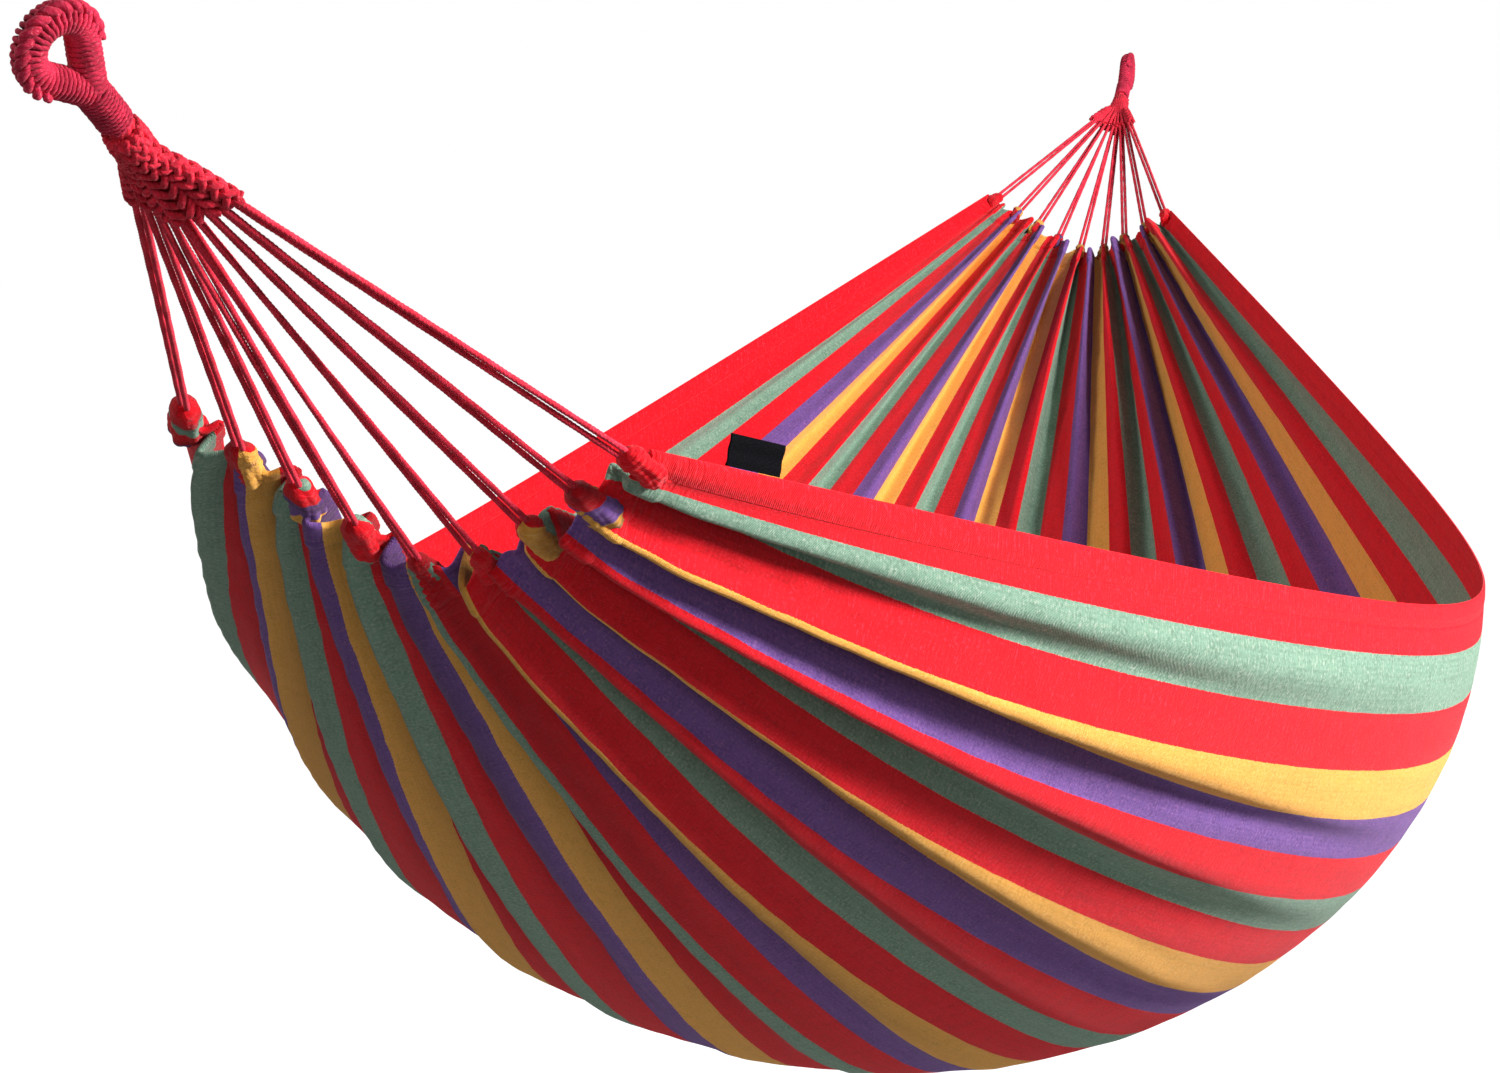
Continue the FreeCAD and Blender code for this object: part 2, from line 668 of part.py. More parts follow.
def make_end_hem(end):
    """Rolled end hem with a gathered tuft at each cord, tunnelled for the cord's turn."""
    rows = []
    for distance in spread(0, size("EndHemWidth"), HEM_STATIONS):
        row = []
        for angle in spread(-math.pi / 2, math.pi / 2, CROSSWISE_STATIONS):
            row.append((along_from_end(end, angle, distance), angle))
        rows.append(row)
    hem = cloth_solid(rows, size("EndHemThickness"))
    tufts = []
    tunnels = []
    for angle in hem_angles(end):
        seat = hem_point(end, angle)
        heading = (seat - pivot_point(end)).normalize()
        tufts.append(Part.makeSphere(size("TuftDia") / 2, seat - heading * size("TuftRise")))
        tunnels.append(cord_solid(end, angle, size("CordDia") + 2 * GAP))
    add_feature(end + "_end_hem", hem.multiFuse(tufts).cut(tunnels))


# ---------------------------------------------------------------- the tag
def make_tag():
    """Blank sewn tag that stands off the right side hem and folds about its edge."""
    label = "side_tag"
    side = -math.pi / 2
    half = size("TagLength") / 2
    near_end = along_from_end("near", side, size("TagPlace") - half)
    far_end = along_from_end("near", side, size("TagPlace") + half)
    first = cloth_point(near_end, side)
    last = cloth_point(far_end, side)
    along = (last - first).normalize()
    thick = cloth_normal((near_end + far_end) / 2, side)
    thick = (thick - along * thick.dot(along)).normalize()
    up = along.cross(thick)
    if up.z < 0:
        up = up * -1
    hinge = (first + last) * 0.5 + up * (GAP + size("TagBeadDia") / 2)
    body = doc.addObject("PartDesign::Body", label)
    body.Label = label
    sketch = body.newObject("Sketcher::SketchObject", label + "_outline")
    sketch.AttachmentSupport = [(origin_feature(body, "XZ_Plane"), "")]
    sketch.MapMode = "FlatFace"
    height = size("TagHeight")
    corners = [Vector(-half, 0, 0), Vector(half, 0, 0), Vector(half, height, 0),
               Vector(-half, height, 0)]
    for index in range(4):
        sketch.addGeometry(Part.LineSegment(corners[index], corners[(index + 1) % 4]), False)
    for index in range(4):
        sketch.addConstraint(Sketcher.Constraint("Coincident", index, 2, (index + 1) % 4, 1))
    for index, kind in enumerate(("Horizontal", "Vertical", "Horizontal", "Vertical")):
        sketch.addConstraint(Sketcher.Constraint(kind, index))
    sketch.addConstraint(Sketcher.Constraint("Symmetric", 0, 1, 0, 2, -1, 1))
    add_named(sketch, Sketcher.Constraint("DistanceX", 0, 1, 0, 2, 2 * half), "long",
              "Sizes.TagLength")
    add_named(sketch, Sketcher.Constraint("DistanceY", 1, 1, 1, 2, height), "high",
              "Sizes.TagHeight")
    doc.recompute()
    pad = body.newObject("PartDesign::Pad", label + "_sheet")
    pad.Profile = sketch
    pad.Midplane = True
    pad.setExpression("Length", "Sizes.TagThickness")
    bead = body.newObject("PartDesign::AdditiveCylinder", label + "_bead")
    bead.setExpression("Radius", "Sizes.TagBeadDia / 2")
    bead.setExpression("Height", "Sizes.TagLength")
    bead.AttachmentSupport = [(origin_feature(body, "YZ_Plane"), "")]
    bead.MapMode = "FlatFace"
    bead.AttachmentOffset = Placement(Vector(0, 0, -half), Rotation())
    body.Tip = bead
    body.Placement = Placement(hinge, Rotation(along, up.cross(along), up, "XYZ"))
    nodes.append(body)
    print("tag hinge", hinge, "along", along, "up", up)


# ---------------------------------------------------------------- build and write
for end in ENDS:
    make_eye_core(end)
    make_eye_whipping(end)
    make_neck_whipping(end)
    make_throat(end)
    make_cords(end)
    make_end_hem(end)
make_bed_cloth()
make_side_hem("right_side_hem", -1)
make_side_hem("left_side_hem", 1)
make_tag()
doc.recompute()

for item in doc.Objects:
    if "Invalid" in item.State or "Error" in item.State:
        raise RuntimeError(f"{item.Label} failed: {item.State}")
os.makedirs("parts", exist_ok=True)
for node in nodes:
    if node.Shape.isNull() or not node.Shape.isValid():
        raise RuntimeError(f"{node.Label} has no valid shape")
for node in nodes:
    node.Shape.exportStep(f"parts/{node.Label}.step")
    box = node.Shape.BoundBox
    print(f"{node.Label}: {len(node.Shape.Solids)} solid, volume {node.Shape.Volume:.0f}, "
          f"x {box.XMin:.1f}..{box.XMax:.1f} y {box.YMin:.1f}..{box.YMax:.1f} "
          f"z {box.ZMin:.1f}..{box.ZMax:.1f}")
print("pivots", pivot_point("near"), pivot_point("far"))
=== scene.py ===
# %% [markdown]
# # A rope hammock, dressed for its picture
#
# The hammock is one striped cotton cloth, gathered at both ends by doubled red cords
# that run to a plaited throat, a whipped neck and a whipped rope eye.
# The rigid frame that comes first holds the sizes and the joints. This notebook lays
# the looks over it: folded cloth, twisted rope and wound cord, each worked out as a
# surface with numpy.

import bpy
import json
import math
import numpy as np
from mathutils import Matrix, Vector
from numpy import cos, pi, sin


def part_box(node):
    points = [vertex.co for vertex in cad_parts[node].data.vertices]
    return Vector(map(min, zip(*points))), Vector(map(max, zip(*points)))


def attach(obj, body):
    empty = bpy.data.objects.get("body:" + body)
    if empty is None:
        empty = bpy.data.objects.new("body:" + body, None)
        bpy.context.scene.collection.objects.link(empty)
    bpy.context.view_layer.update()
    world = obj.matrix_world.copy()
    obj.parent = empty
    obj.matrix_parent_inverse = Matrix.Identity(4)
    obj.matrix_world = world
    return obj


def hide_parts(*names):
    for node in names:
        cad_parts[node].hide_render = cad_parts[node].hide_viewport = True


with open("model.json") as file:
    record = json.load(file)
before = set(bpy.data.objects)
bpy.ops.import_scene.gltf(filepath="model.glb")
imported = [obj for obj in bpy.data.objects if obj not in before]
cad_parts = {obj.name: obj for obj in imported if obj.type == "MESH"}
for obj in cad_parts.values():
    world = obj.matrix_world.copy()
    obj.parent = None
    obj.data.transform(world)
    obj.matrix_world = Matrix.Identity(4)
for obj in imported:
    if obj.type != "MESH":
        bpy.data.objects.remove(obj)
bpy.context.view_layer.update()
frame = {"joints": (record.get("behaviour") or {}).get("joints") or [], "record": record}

# %% [markdown]
# ## The places that the frame gives
#
# The record names the eyes and the pivots, so they are read rather than typed. The cloth
# has to hang where the solid cloth hangs, so the sizes of its end hems and of its sag
# repeat the part's own named sizes, in metres. A hem's reach is measured from the eye,
# its bow is what its lowest point adds to that, and its lean lifts the left end.

# %% Read the eyes and the pivots
joints = {joint["name"]: joint for joint in frame["joints"]}
EYES = {mount["name"].split("_")[0]: np.array(mount["pos_m"], float)
        for mount in frame["record"]["mounts"]}
PIVOTS = {"near": np.array(joints["swing"]["pos_m"], float),
          "far": np.array(joints["far_eye_turn"]["pos_m"], float)}
EYE_SPAN = EYES["far"][0] - EYES["near"][0]
print("eye span", round(EYE_SPAN, 4), "pivots", PIVOTS["near"], PIVOTS["far"])

# %% Sizes of the cloth and of its two end hems
HEMS = {
    "near": dict(reach=0.365, bow=0.027, half=0.156, drop=0.224, depth=0.095, lean=0.016),
    "far": dict(reach=0.364, bow=-0.023, half=0.117, drop=0.167, depth=0.069, lean=0.015),
}
CROSS_PINCH, CROSS_POINT = 0.105, 0.12
BED_HALF_WIDTH, BED_EDGE_DROP, BED_DEPTH = 0.574, 0.498, 0.470
SAG_POWER, SAG_ROUNDING = 1.06, 0.05
CORDS, TUFT_INSET, THROAT_LENGTH = 9, 0.012, 0.072
SIDE_HEM, END_HEM = 0.018, 0.028
CLOTH_WIDTH, CLOTH_LENGTH = 1.63, 2.42
STRIPES, EDGE_STRIPE, STRIPE = 33, 0.0705, 0.0489
NUDGE = 1e-4  # a small step, for directions along a curve
ENDS = "near", "far"
DENSE = np.linspace(pi / 2, -pi / 2, 721)  # angles across the cloth, from left to right


def hem_line(end, angle):
    """Points of an end hem: across by the angle's sine and down by its cosine, each with a
    little of the third harmonic."""
    h = HEMS[end]
    width = (sin(angle) - CROSS_PINCH * sin(3 * angle)) / (1 + CROSS_PINCH)
    depth = (cos(angle) + CROSS_POINT * cos(3 * angle)) / (1 + CROSS_POINT)
    reach = h["reach"] + h["bow"] * depth
    along = reach if end == "near" else EYE_SPAN - reach
    height = h["lean"] * sin(angle) - h["drop"] - h["depth"] * depth
    return np.stack([along, h["half"] * width, height], -1)


def sag_share(along):
    """0 at both end hems and 1 half-way: one less a power of the distance from the middle,
    rounded at its tip."""
    offset = 2 * along - 1
    rounded = ((offset**2 + SAG_ROUNDING) / (1 + SAG_ROUNDING)) ** (SAG_POWER / 2)
    lowest = (SAG_ROUNDING / (1 + SAG_ROUNDING)) ** (SAG_POWER / 2)
    return (1 - rounded) / (1 - lowest)


def bed_surface(along, angle):
    """The smooth cloth: the line between the hems, pulled towards a half-ellipse by the
    sag."""
    along, angle = np.broadcast_arrays(np.asarray(along, float), np.asarray(angle, float))
    near, far = hem_line("near", angle), hem_line("far", angle)
    middle = np.stack([np.full_like(angle, EYE_SPAN / 2), BED_HALF_WIDTH * sin(angle),
                       -BED_EDGE_DROP - BED_DEPTH * cos(angle)], -1)
    u = along[..., None]
    return near * (1 - u) + far * u + (middle - (near + far) / 2) * sag_share(u)


def unit(vectors):
    """The same directions, each one unit long."""
    return vectors / np.linalg.norm(vectors, axis=-1, keepdims=True)


def square_to(axis, vectors):
    """The unit vectors square to an axis that lie nearest to the given ones."""
    return unit(vectors - axis * (vectors * axis).sum(-1, keepdims=True))


def smooth(value, low, high):
    """0 below low, 1 above high, and between them three squares less two cubes."""
    t = np.clip((value - low) / (high - low), 0, 1)
    return t * t * (3 - 2 * t)


def round_from(angle, first, second):
    """The point of a circle at an angle from the first direction towards the second."""
    return cos(angle)[..., None] * first + sin(angle)[..., None] * second


def flat_map(across, along):
    """Flat places from two arrays that broadcast to one grid."""
    return np.stack(np.broadcast_arrays(across, along), -1)


print("middle of the bed at", bed_surface(0.5, 0.0).round(3))

# %% [markdown]
# ## The camera
#
# The camera stands beside and behind the near eye, a little above the bed. Its lens is
# long, so the far eye still looks large. It comes first, so that every later piece can
# be judged against the same view.

# %% Camera
CAMERA_AT = (-1.2291, -0.7498, -0.0538)
YAW, PITCH, ROLL = 0.3204, 0.1421, -0.047
SENSOR_WIDTH, LENS, FARTHEST = 36, 68.48, 60


def placed(name, data):
    """A new object in the scene."""
    item = bpy.data.objects.new(name, data)
    bpy.context.scene.collection.objects.link(item)
    return item


def aim(item, right, up, back, place):
    """Gives an object its three axes and its place."""
    axes = np.column_stack([right, up, back, place])
    item.matrix_world = Matrix(np.vstack([axes, [0, 0, 0, 1]]).tolist())


forward = np.array([math.cos(YAW) * math.cos(PITCH), math.sin(YAW) * math.cos(PITCH),
                    -math.sin(PITCH)])
level = np.array([math.sin(YAW), -math.cos(YAW), 0.0])
upright = np.cross(level, forward)
camera = placed("camera", bpy.data.cameras.new("camera"))
aim(camera, level * math.cos(ROLL) + upright * math.sin(ROLL),
    upright * math.cos(ROLL) - level * math.sin(ROLL), -forward, CAMERA_AT)
camera.data.sensor_width, camera.data.lens, camera.data.clip_end = SENSOR_WIDTH, LENS, FARTHEST
bpy.context.scene.camera = camera
print("lens", camera.data.lens, "mm")

# %% [markdown]
# ## Meshes from whole arrays
#
# Every piece here is one or more grids of points: rows along it and columns round it. A
# collector joins the grids of one piece, numbers their corners, turns their faces
# outwards and hands everything to the mesh in one go.

# %% The grid collector
def inside_out(points, quads):
    """Whether a closed grid's faces look inwards, so that its signed volume is negative."""
    a, b, c, d = (points[quads[:, k]] - points.mean(0) for k in range(4))
    return bool((a * (np.cross(b, c) + np.cross(c, d))).sum() < 0)


def cells(grid):
    """The four corners of each cell of a grid, in turn."""
    corners = np.stack([grid[:-1, :-1], grid[:-1, 1:], grid[1:, 1:], grid[1:, :-1]], 2)
    return corners.reshape(-1, 4, *grid.shape[2:])


class Grids:
    """Gathers grids of points and turns them into one mesh."""

    def __init__(self):
        self.points, self.corners, self.sizes, self.flat = [], [], [], []
        self.count = 0

    def faces(self, corners, flat, flip):
        """Adds faces by the numbers of their corners."""
        if flip:
            corners, flat = corners[:, ::-1], flat[:, ::-1]
        self.corners.append(corners.ravel())
        self.sizes.append(np.full(len(corners), corners.shape[1]))
        self.flat.append(flat.reshape(-1, 2))

    def add(self, points, uv, cap=False, flip=False):
        """A grid whose columns close into rings. cap closes the first and the last ring."""
        rows, columns = points.shape[:2]
        index = np.arange(rows * columns).reshape(rows, columns)
        index = np.concatenate([index, index[:, :1]], 1)
        quads, body = cells(index), points.reshape(-1, 3)
        blocks = [(quads, cells(uv))]
        if cap:
            flip = inside_out(body, quads)
            for row, turn in ((0, -1), (rows - 1, 1)):
                middle = len(body)
                body = np.vstack([body, points[row].mean(0)])
                ring = index[row]
                fan = np.stack([np.full(len(ring) - 1, middle), ring[:-1], ring[1:]], -1)
                around = [(uv[row, :-1] + uv[row, 1:]) / 2, uv[row, :-1], uv[row, 1:]]
                blocks.append((fan[:, ::turn], np.stack(around, 1)[:, ::turn]))
        for corners, flat in blocks:
            self.faces(corners + self.count, flat, flip)
        self.points.append(body)
        self.count += len(body)
        return self

    def sheet(self, points, half, uv):
        """A thick sheet: the grid moved out and in by half its thickness, closed round its
        rim."""
        normal = unit(np.cross(np.gradient(points, axis=0), np.gradient(points, axis=1)))
        half = np.broadcast_to(half, points.shape[:2])[..., None]
        ring = np.concatenate([points + normal * half, (points - normal * half)[:, ::-1]], 1)
        flat = np.concatenate([uv, uv[:, ::-1], uv[:, :1]], 1)
        rows, columns = ring.shape[:2]
        quads = Grids().add(ring, flat).corners[0].reshape(-1, 4)
        inward = inside_out(ring.reshape(-1, 3), quads)
        self.add(ring, flat, flip=inward)
        first = self.count - rows * columns
        width = columns // 2
        for row in (0, rows - 1):
            base = first + row * columns + np.arange(width)
            back = first + row * columns + columns - 1 - np.arange(width)
            self.faces(cells(np.stack([base, back], 1)),
                       cells(np.stack([uv[row], uv[row]], 1)), (row == 0) == inward)
        return self

    def piece(self, name, material, body, slot, replaced=None):
        """The mesh object, which rides on a body and may stand for a node of the frame."""
        mesh = bpy.data.meshes.new(name)
        points, corners = np.vstack(self.points), np.concatenate(self.corners)
        sizes = np.concatenate(self.sizes)
        starts = np.cumsum(sizes) - sizes
        mesh.vertices.add(len(points))
        mesh.vertices.foreach_set("co", points.astype(np.float32).ravel())
        mesh.loops.add(len(corners))
        mesh.loops.foreach_set("vertex_index", corners.astype(np.int32))
        mesh.polygons.add(len(sizes))
        mesh.polygons.foreach_set("loop_start", starts.astype(np.int32))
        layer = mesh.uv_layers.new(name="surface")
        layer.data.foreach_set("uv", np.vstack(self.flat).astype(np.float32).ravel())
        mesh.update(calc_edges=True)
        mesh.validate()
        mesh.shade_smooth()
        mesh.materials.append(material)
        item = placed(name, mesh)
        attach(item, body)
        if replaced:
            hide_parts(replaced)
        print(f"{name}: {int((sizes - 2).sum())} triangles")
        return item


# %% [markdown]
# ## Shader maths as Python
#
# The small class below wraps one node socket, and its operators add the Math nodes, so
# that a weave reads like a formula.

# %% The socket class
class Wire:
    """One output socket, with Python's operators on it."""

    def __init__(self, tree, socket):
        self.tree, self.socket = tree, socket

    def node(self, kind, output=0, settings=None, **inputs):
        """Adds any node: its settings first, then values or links for its sockets, which are
        named in words or by number as _0."""
        made = self.tree.nodes.new(kind)
        for key, value in (settings or {}).items():
            setattr(made, key, value)
        for key, value in inputs.items():
            socket = made.inputs[int(key[1:]) if key[1:].isdigit() else key.replace("_", " ")]
            if isinstance(value, Wire):
                self.tree.links.new(value.socket, socket)
            else:
                socket.default_value = value
        return Wire(self.tree, made.outputs[output])

    def maths(self, operation, other=0.0, first=None):
        """A Math node on this value and the other, or on the first and this value."""
        pair = (self, other) if first is None else (first, self)
        return self.node("ShaderNodeMath", 0, {"operation": operation}, _0=pair[0], _1=pair[1])

    def __add__(self, other):
        return self.maths("ADD", other)

    def __sub__(self, other):
        return self.maths("SUBTRACT", other)

    def __mul__(self, other):
        return self.maths("MULTIPLY", other)

    def __rsub__(self, other):
        return self.maths("SUBTRACT", first=other)

    __radd__, __rmul__ = __add__, __mul__

    def wave(self, per_unit):
        """A sine of this value, so many turns to the unit, from -1 to 1."""
        return (self * (2 * math.pi * per_unit)).maths("SINE")

    def between(self, low, high):
        """0 below low, 1 above high, smooth between."""
        return self.node("ShaderNodeMapRange", settings={"interpolation_type": "SMOOTHSTEP"},
                         Value=self, From_Min=low, From_Max=high)

    def blended(self, first, second):
        """From the first colour to the second as this goes from 0 to 1."""
        return self.node("ShaderNodeMix", output=2, settings={"data_type": "RGBA"},
                         _0=self, _6=first, _7=second)

    def axis(self, number):
        """One coordinate of this place, counted from 0."""
        return self.node("ShaderNodeSeparateXYZ", output=number, Vector=self)

    def noise(self, scale, detail, **more):
        """Noise at this place. Three scales instead of one stretch it."""
        if isinstance(scale, tuple):
            return self.node("ShaderNodeMapping", Vector=self, Scale=scale).noise(
                1.0, detail, **more)
        return self.node("ShaderNodeTexNoise", Vector=self, Scale=scale, Detail=detail, **more)

    def ramp(self, stops, interpolation="LINEAR"):
        """The colour that a list of (place, colour) stops has at this value."""
        made = self.node("ShaderNodeValToRGB", Fac=self)
        ramp = made.socket.node.color_ramp
        ramp.interpolation = interpolation
        while len(ramp.elements) < len(stops):
            ramp.elements.new(0.5)
        for element, (place, colour) in zip(ramp.elements, stops):
            element.position, element.color = place, colour
        return made


def linear(*screen):
    """An opaque colour given in 0 to 255 screen values, as a shader wants it."""
    share = np.array(screen) / 255
    curve = np.where(share <= 0.04045, share / 12.92, ((share + 0.055) / 1.055) ** 2.4)
    return (*curve.tolist(), 1.0)


def new_material(name, roughness, sheen=0.0, specular=0.15):
    """A principled material, its shader and its flat place."""
    material = bpy.data.materials.new(name)
    material.use_nodes = True
    tree = material.node_tree
    shader = next(n for n in tree.nodes if n.type == "BSDF_PRINCIPLED")
    for key, value in (("Roughness", roughness), ("Specular IOR Level", specular),
                       ("Sheen Weight", sheen), ("Sheen Roughness", 0.5),
                       ("Sheen Tint", (1, 0.78, 0.8, 1))):
        shader.inputs[key].default_value = value
    flat = Wire(tree, tree.nodes.new("ShaderNodeTexCoord").outputs["UV"])
    return material, shader, flat


def finished(material, shader, colour, height, distance, strength, roughness=None):
    """The material, with a colour, and a height through a Bump node, in its shader."""
    bump = height.node("ShaderNodeBump", Height=height, Distance=distance, Strength=strength)
    for name, wire in (("Base Color", colour), ("Roughness", roughness), ("Normal", bump)):
        if wire:
            colour.tree.links.new(wire.socket, shader.inputs[name])
    return material


# %% [markdown]
# ## Striped cotton canvas
#
# The UV map keeps the cloth's own flat place in metres: across it from the left side,
# and along it. Five stripes repeat across the width: red, green, red, purple, yellow,
# and the pattern ends with red, green, red. Noise mixes a paler and a deeper colour into
# each stripe, because the yarn is uneven, and a fine crossed wave makes the weave. Shade
# is painted into the colour in the valleys beside the near hem: a dark red over set
# places of every five stripes, which differ from left to right. An image would be
# simpler, but a formula keeps the threads sharp on every fold.

# %% Canvas colours: the plain, the paler and the deeper one of each yarn, and the painted shade
RED = (232, 4, 24), (240, 62, 84), (176, 4, 22)
GREEN = (124, 158, 136), (206, 206, 190), (76, 104, 86)
PURPLE = (118, 82, 154), (176, 116, 166), (62, 38, 92)
YELLOW = (250, 180, 80), (250, 214, 138), (206, 142, 48)
REPEAT = RED, GREEN, RED, PURPLE, YELLOW
# The dark red that is painted as shade into the valleys beside the near hem.
SHADED = linear(38, 6, 12)
PALE, DEEP, STREAKED, SHADE = 0.5, 0.42, 0.18, 0.72  # most that each may add
THREADS_ACROSS, THREADS_ALONG = 620, 560  # to the metre
UNEVEN_EDGE = 0.05  # of a stripe
# Pairs of a place in the five stripes and the depth of the painted shade there.
LEFT_VALLEYS = ((0.0, 0.25), (0.12, 0.6), (0.18, 0.9), (0.31, 0.0), (0.48, 0.0), (0.6, 0.55),
                (0.68, 1.0), (0.8, 0.0), (1.0, 0.25))
RIGHT_VALLEYS = ((0.0, 0.05), (0.02, 0.0), (0.2, 0.0), (0.38, 0.35), (0.46, 0.85), (0.58, 0.0),
                 (0.7, 0.0), (0.82, 0.45), (0.9, 1.0), (1.0, 0.05))
print("five stripes repeat every", round(5 * STRIPE, 3), "m")


# %% Canvas material
def canvas_material():
    """The number of the stripe is the distance across over a stripe's width, made a little
    uneven. The fraction of its fifth picks the colours, and the painted shade of the valleys
    beside the near hem, from ramps."""
    material, shader, flat = new_material("striped_canvas", 0.88, sheen=0.14)
    across, along = flat.axis(0), flat.axis(1)
    fleck = flat.noise(330.0, 3.0, Roughness=0.65)
    slub = flat.noise((60.0, 620.0, 1.0), 2.0, Roughness=0.6)
    cloud = flat.noise(60.0, 4.0, Roughness=0.7)
    streak = flat.noise((420.0, 7.0, 1.0), 2.0)
    number = (across - EDGE_STRIPE) * (1 / STRIPE) + 1 + (slub - 0.5) * UNEVEN_EDGE
    number = number.maths("MAXIMUM", UNEVEN_EDGE).maths("MINIMUM", STRIPES - UNEVEN_EDGE)
    place = (number * 0.2).maths("FRACT")
    base, light, dark = (
        place.ramp([(k / 5, linear(*yarn[tone])) for k, yarn in enumerate(REPEAT)], "CONSTANT")
        for tone in range(3))
    pale = (fleck * 0.6 + slub * 0.4).between(0.50, 0.66) * PALE
    deep = (fleck * 0.6 + cloud * 0.4).between(0.52, 0.38) * DEEP
    colour = pale.blended(base, light)
    colour = deep.blended(colour, dark)
    colour = (streak.between(0.42, 0.68) * STREAKED).blended(colour, dark)
    # Painted shade: two ramps darken the places of the stripes where the valleys beside the near
    # hem fall. It fades away from the hem and the side edges.
    left, right = (place.ramp([(at, (shade, shade, shade, 1)) for at, shade in valleys])
                   for valleys in (LEFT_VALLEYS, RIGHT_VALLEYS))
    valley = across.between(0.72, 0.98).blended(left, right)
    inside = across.between(0.02, 0.1) * across.between(1.60, 1.54)
    gathered = along.between(1.15, 0.05) * inside
    colour = (gathered * valley * SHADE).blended(colour, SHADED)
    weave = across.wave(THREADS_ACROSS) * along.wave(THREADS_ALONG)
    ruffle = flat.noise((46.0, 230.0, 1.0), 2.0, Distortion=0.6)
    beside_hem = along.maths("MINIMUM", CLOTH_LENGTH - along).between(0.085, 0.015)
    height = weave * 0.3 + fleck * 0.9 + slub * 0.8 + cloud * 1.1 + ruffle * beside_hem * 5.0
    return finished(material, shader, colour, height, 0.0012, 0.6, 0.78 + fleck * 0.2)


canvas = canvas_material()
print("canvas with", len(canvas.node_tree.nodes), "nodes")

# %% [markdown]
# ## Red cotton cord
#
# All the cords, the whipping and the plait are soft red cotton. Their UV map runs once
# round the cord and along it in metres, and turns with the twist, so that shade can be
# painted as a deeper red into the grooves between the strands.

# %% Cord materials
# The second value is the most shade that is painted into the grooves between the strands.
DEEP_PATCHES, GROOVE_PAINTED_SHADE, PALE_SPECKS = 0.45, 0.5, 0.5
SPECK = linear(250, 130, 140)


def cord_material(name, body, bright, deep, grooves, fibre):
    """Red cotton: noise for its fibres and patches, and shade painted into the grooves as the
    deep red, where the sine of the grooves round the cord is near zero."""
    material, shader, flat = new_material(name, 0.8, sheen=0.1)
    hairs = flat.noise((14.0, fibre, 1.0), 3.0, Roughness=0.65)
    place = flat.node("ShaderNodeTexCoord", output=3)
    patch, speck = place.noise(70.0, 3.0), place.noise(900.0, 2.0)
    crest = flat.axis(0).wave(grooves / 2).maths("ABSOLUTE")
    colour = hairs.between(0.35, 0.68).blended(linear(*body), linear(*bright))
    colour = (patch.between(0.62, 0.40) * DEEP_PATCHES).blended(colour, linear(*deep))
    # Painted shade: the grooves between the strands darken towards the deep red.
    colour = ((1 - crest).between(0.55, 1.0) * GROOVE_PAINTED_SHADE).blended(colour, linear(*deep))
    colour = (speck.between(0.60, 0.74) * PALE_SPECKS).blended(colour, SPECK)
    return finished(material, shader, colour, hairs + speck * 0.6, 0.0005, 0.6)


whipping_red = cord_material(
    "whipping_cotton", (200, 20, 54), (228, 62, 98), (104, 4, 26), 2, 900.0)
clew_red = cord_material("clew_cotton", (234, 20, 52), (248, 72, 96), (150, 4, 22), 3, 700.0)
plait_red = cord_material("plait_cotton", (224, 18, 46), (244, 60, 84), (118, 2, 16), 2, 700.0)
print("cord materials ready")

# %% [markdown]
# ## Rope along a path
#
# A twisted rope is a lobed profile carried along a path while it turns. The same
# function makes the clew cords, the whipping's windings and the plait's strands.

# %% The rope profile
def running_length(path):
    """Distance along a path at each of its points."""
    return np.concatenate([[0.0], np.cumsum(np.linalg.norm(np.diff(path, axis=0), axis=1))])


def at_lengths(path, length, places):
    """The values that a path's points have at distances along it."""
    return np.stack([np.interp(places, length, path[:, axis]) for axis in range(3)], -1)


def resampled(path, step):
    """The same path with its points evenly spaced."""
    length = running_length(path)
    count = max(4, int(round(length[-1] / step)) + 1)
    return at_lengths(path, length, np.linspace(0, length[-1], count))


def rope(grids, path, reference, radius, lobes, groove, pitch, sides, start=0.0):
    """At angle t round the path the radius is the rope's, less a groove where the cosine of
    the lobes crosses zero. The profile turns once in each pitch."""
    tangent = unit(np.gradient(path, axis=0))
    normal = square_to(tangent, reference)
    binormal = np.cross(tangent, normal)
    length = running_length(path)
    t = np.linspace(0, 2 * pi, sides, endpoint=False)
    lobed = 1 - groove + groove * np.abs(cos(lobes / 2 * t))
    turn = t + (start + length * 2 * pi / pitch)[:, None]
    size = (radius * np.ones(len(path)))[:, None] * lobed
    ring = path[:, None] + size[..., None] * round_from(turn, normal[:, None], binormal[:, None])
    around = np.linspace(0, 1, sides + 1) + 0.5 / lobes
    return grids.add(ring, flat_map(around, length[:, None]), cap=True)


# %% [markdown]
# ## The rope eyes
#
# Each eye is a teardrop: a round end and two legs that meet at the neck. Thin two-ply
# cord is wound round the whole of it in a tight helix, and a thicker twisted pair lies
# along the outside of the round end. A second winding closes the neck, which ends in a
# ball inside the throat. A bump map could fake the windings, but their scalloped outline
# gives the eye its character, so they are real geometry.

# %% Sizes of the eyes
LOOP_RADIUS, CROTCH = 0.016, 0.036
CORE_RADIUS, NECK_RADIUS, BALL_RADIUS = 0.006, 0.0075, 0.008
NECK_SLOPE = math.radians(35)
TWISTS = {"near": math.radians(30), "far": math.radians(5)}
NECK_START, NECK_END = 0.034, CROTCH + 0.027
BALL_AHEAD, BALL_TIP, WAIST_RADIUS, WAIST_RINGS = 0.0054, 0.0004, 0.0071, 7
THREAD, THREAD_SPACING, PLY_PITCH = 0.0030, 0.0029, 0.0095
COLLAR_THREAD, COLLAR_SPACING, COLLAR_PITCH, COLLAR_SLOPE = 0.0013, 0.0025, 0.0070, 0.22
PAIR_REACH, PAIR_ASIDE, PAIR_APART = LOOP_RADIUS + 0.0066, 0.0036, 0.0019
PAIR_STRAND, PAIR_PITCH = 0.0025, 0.0140


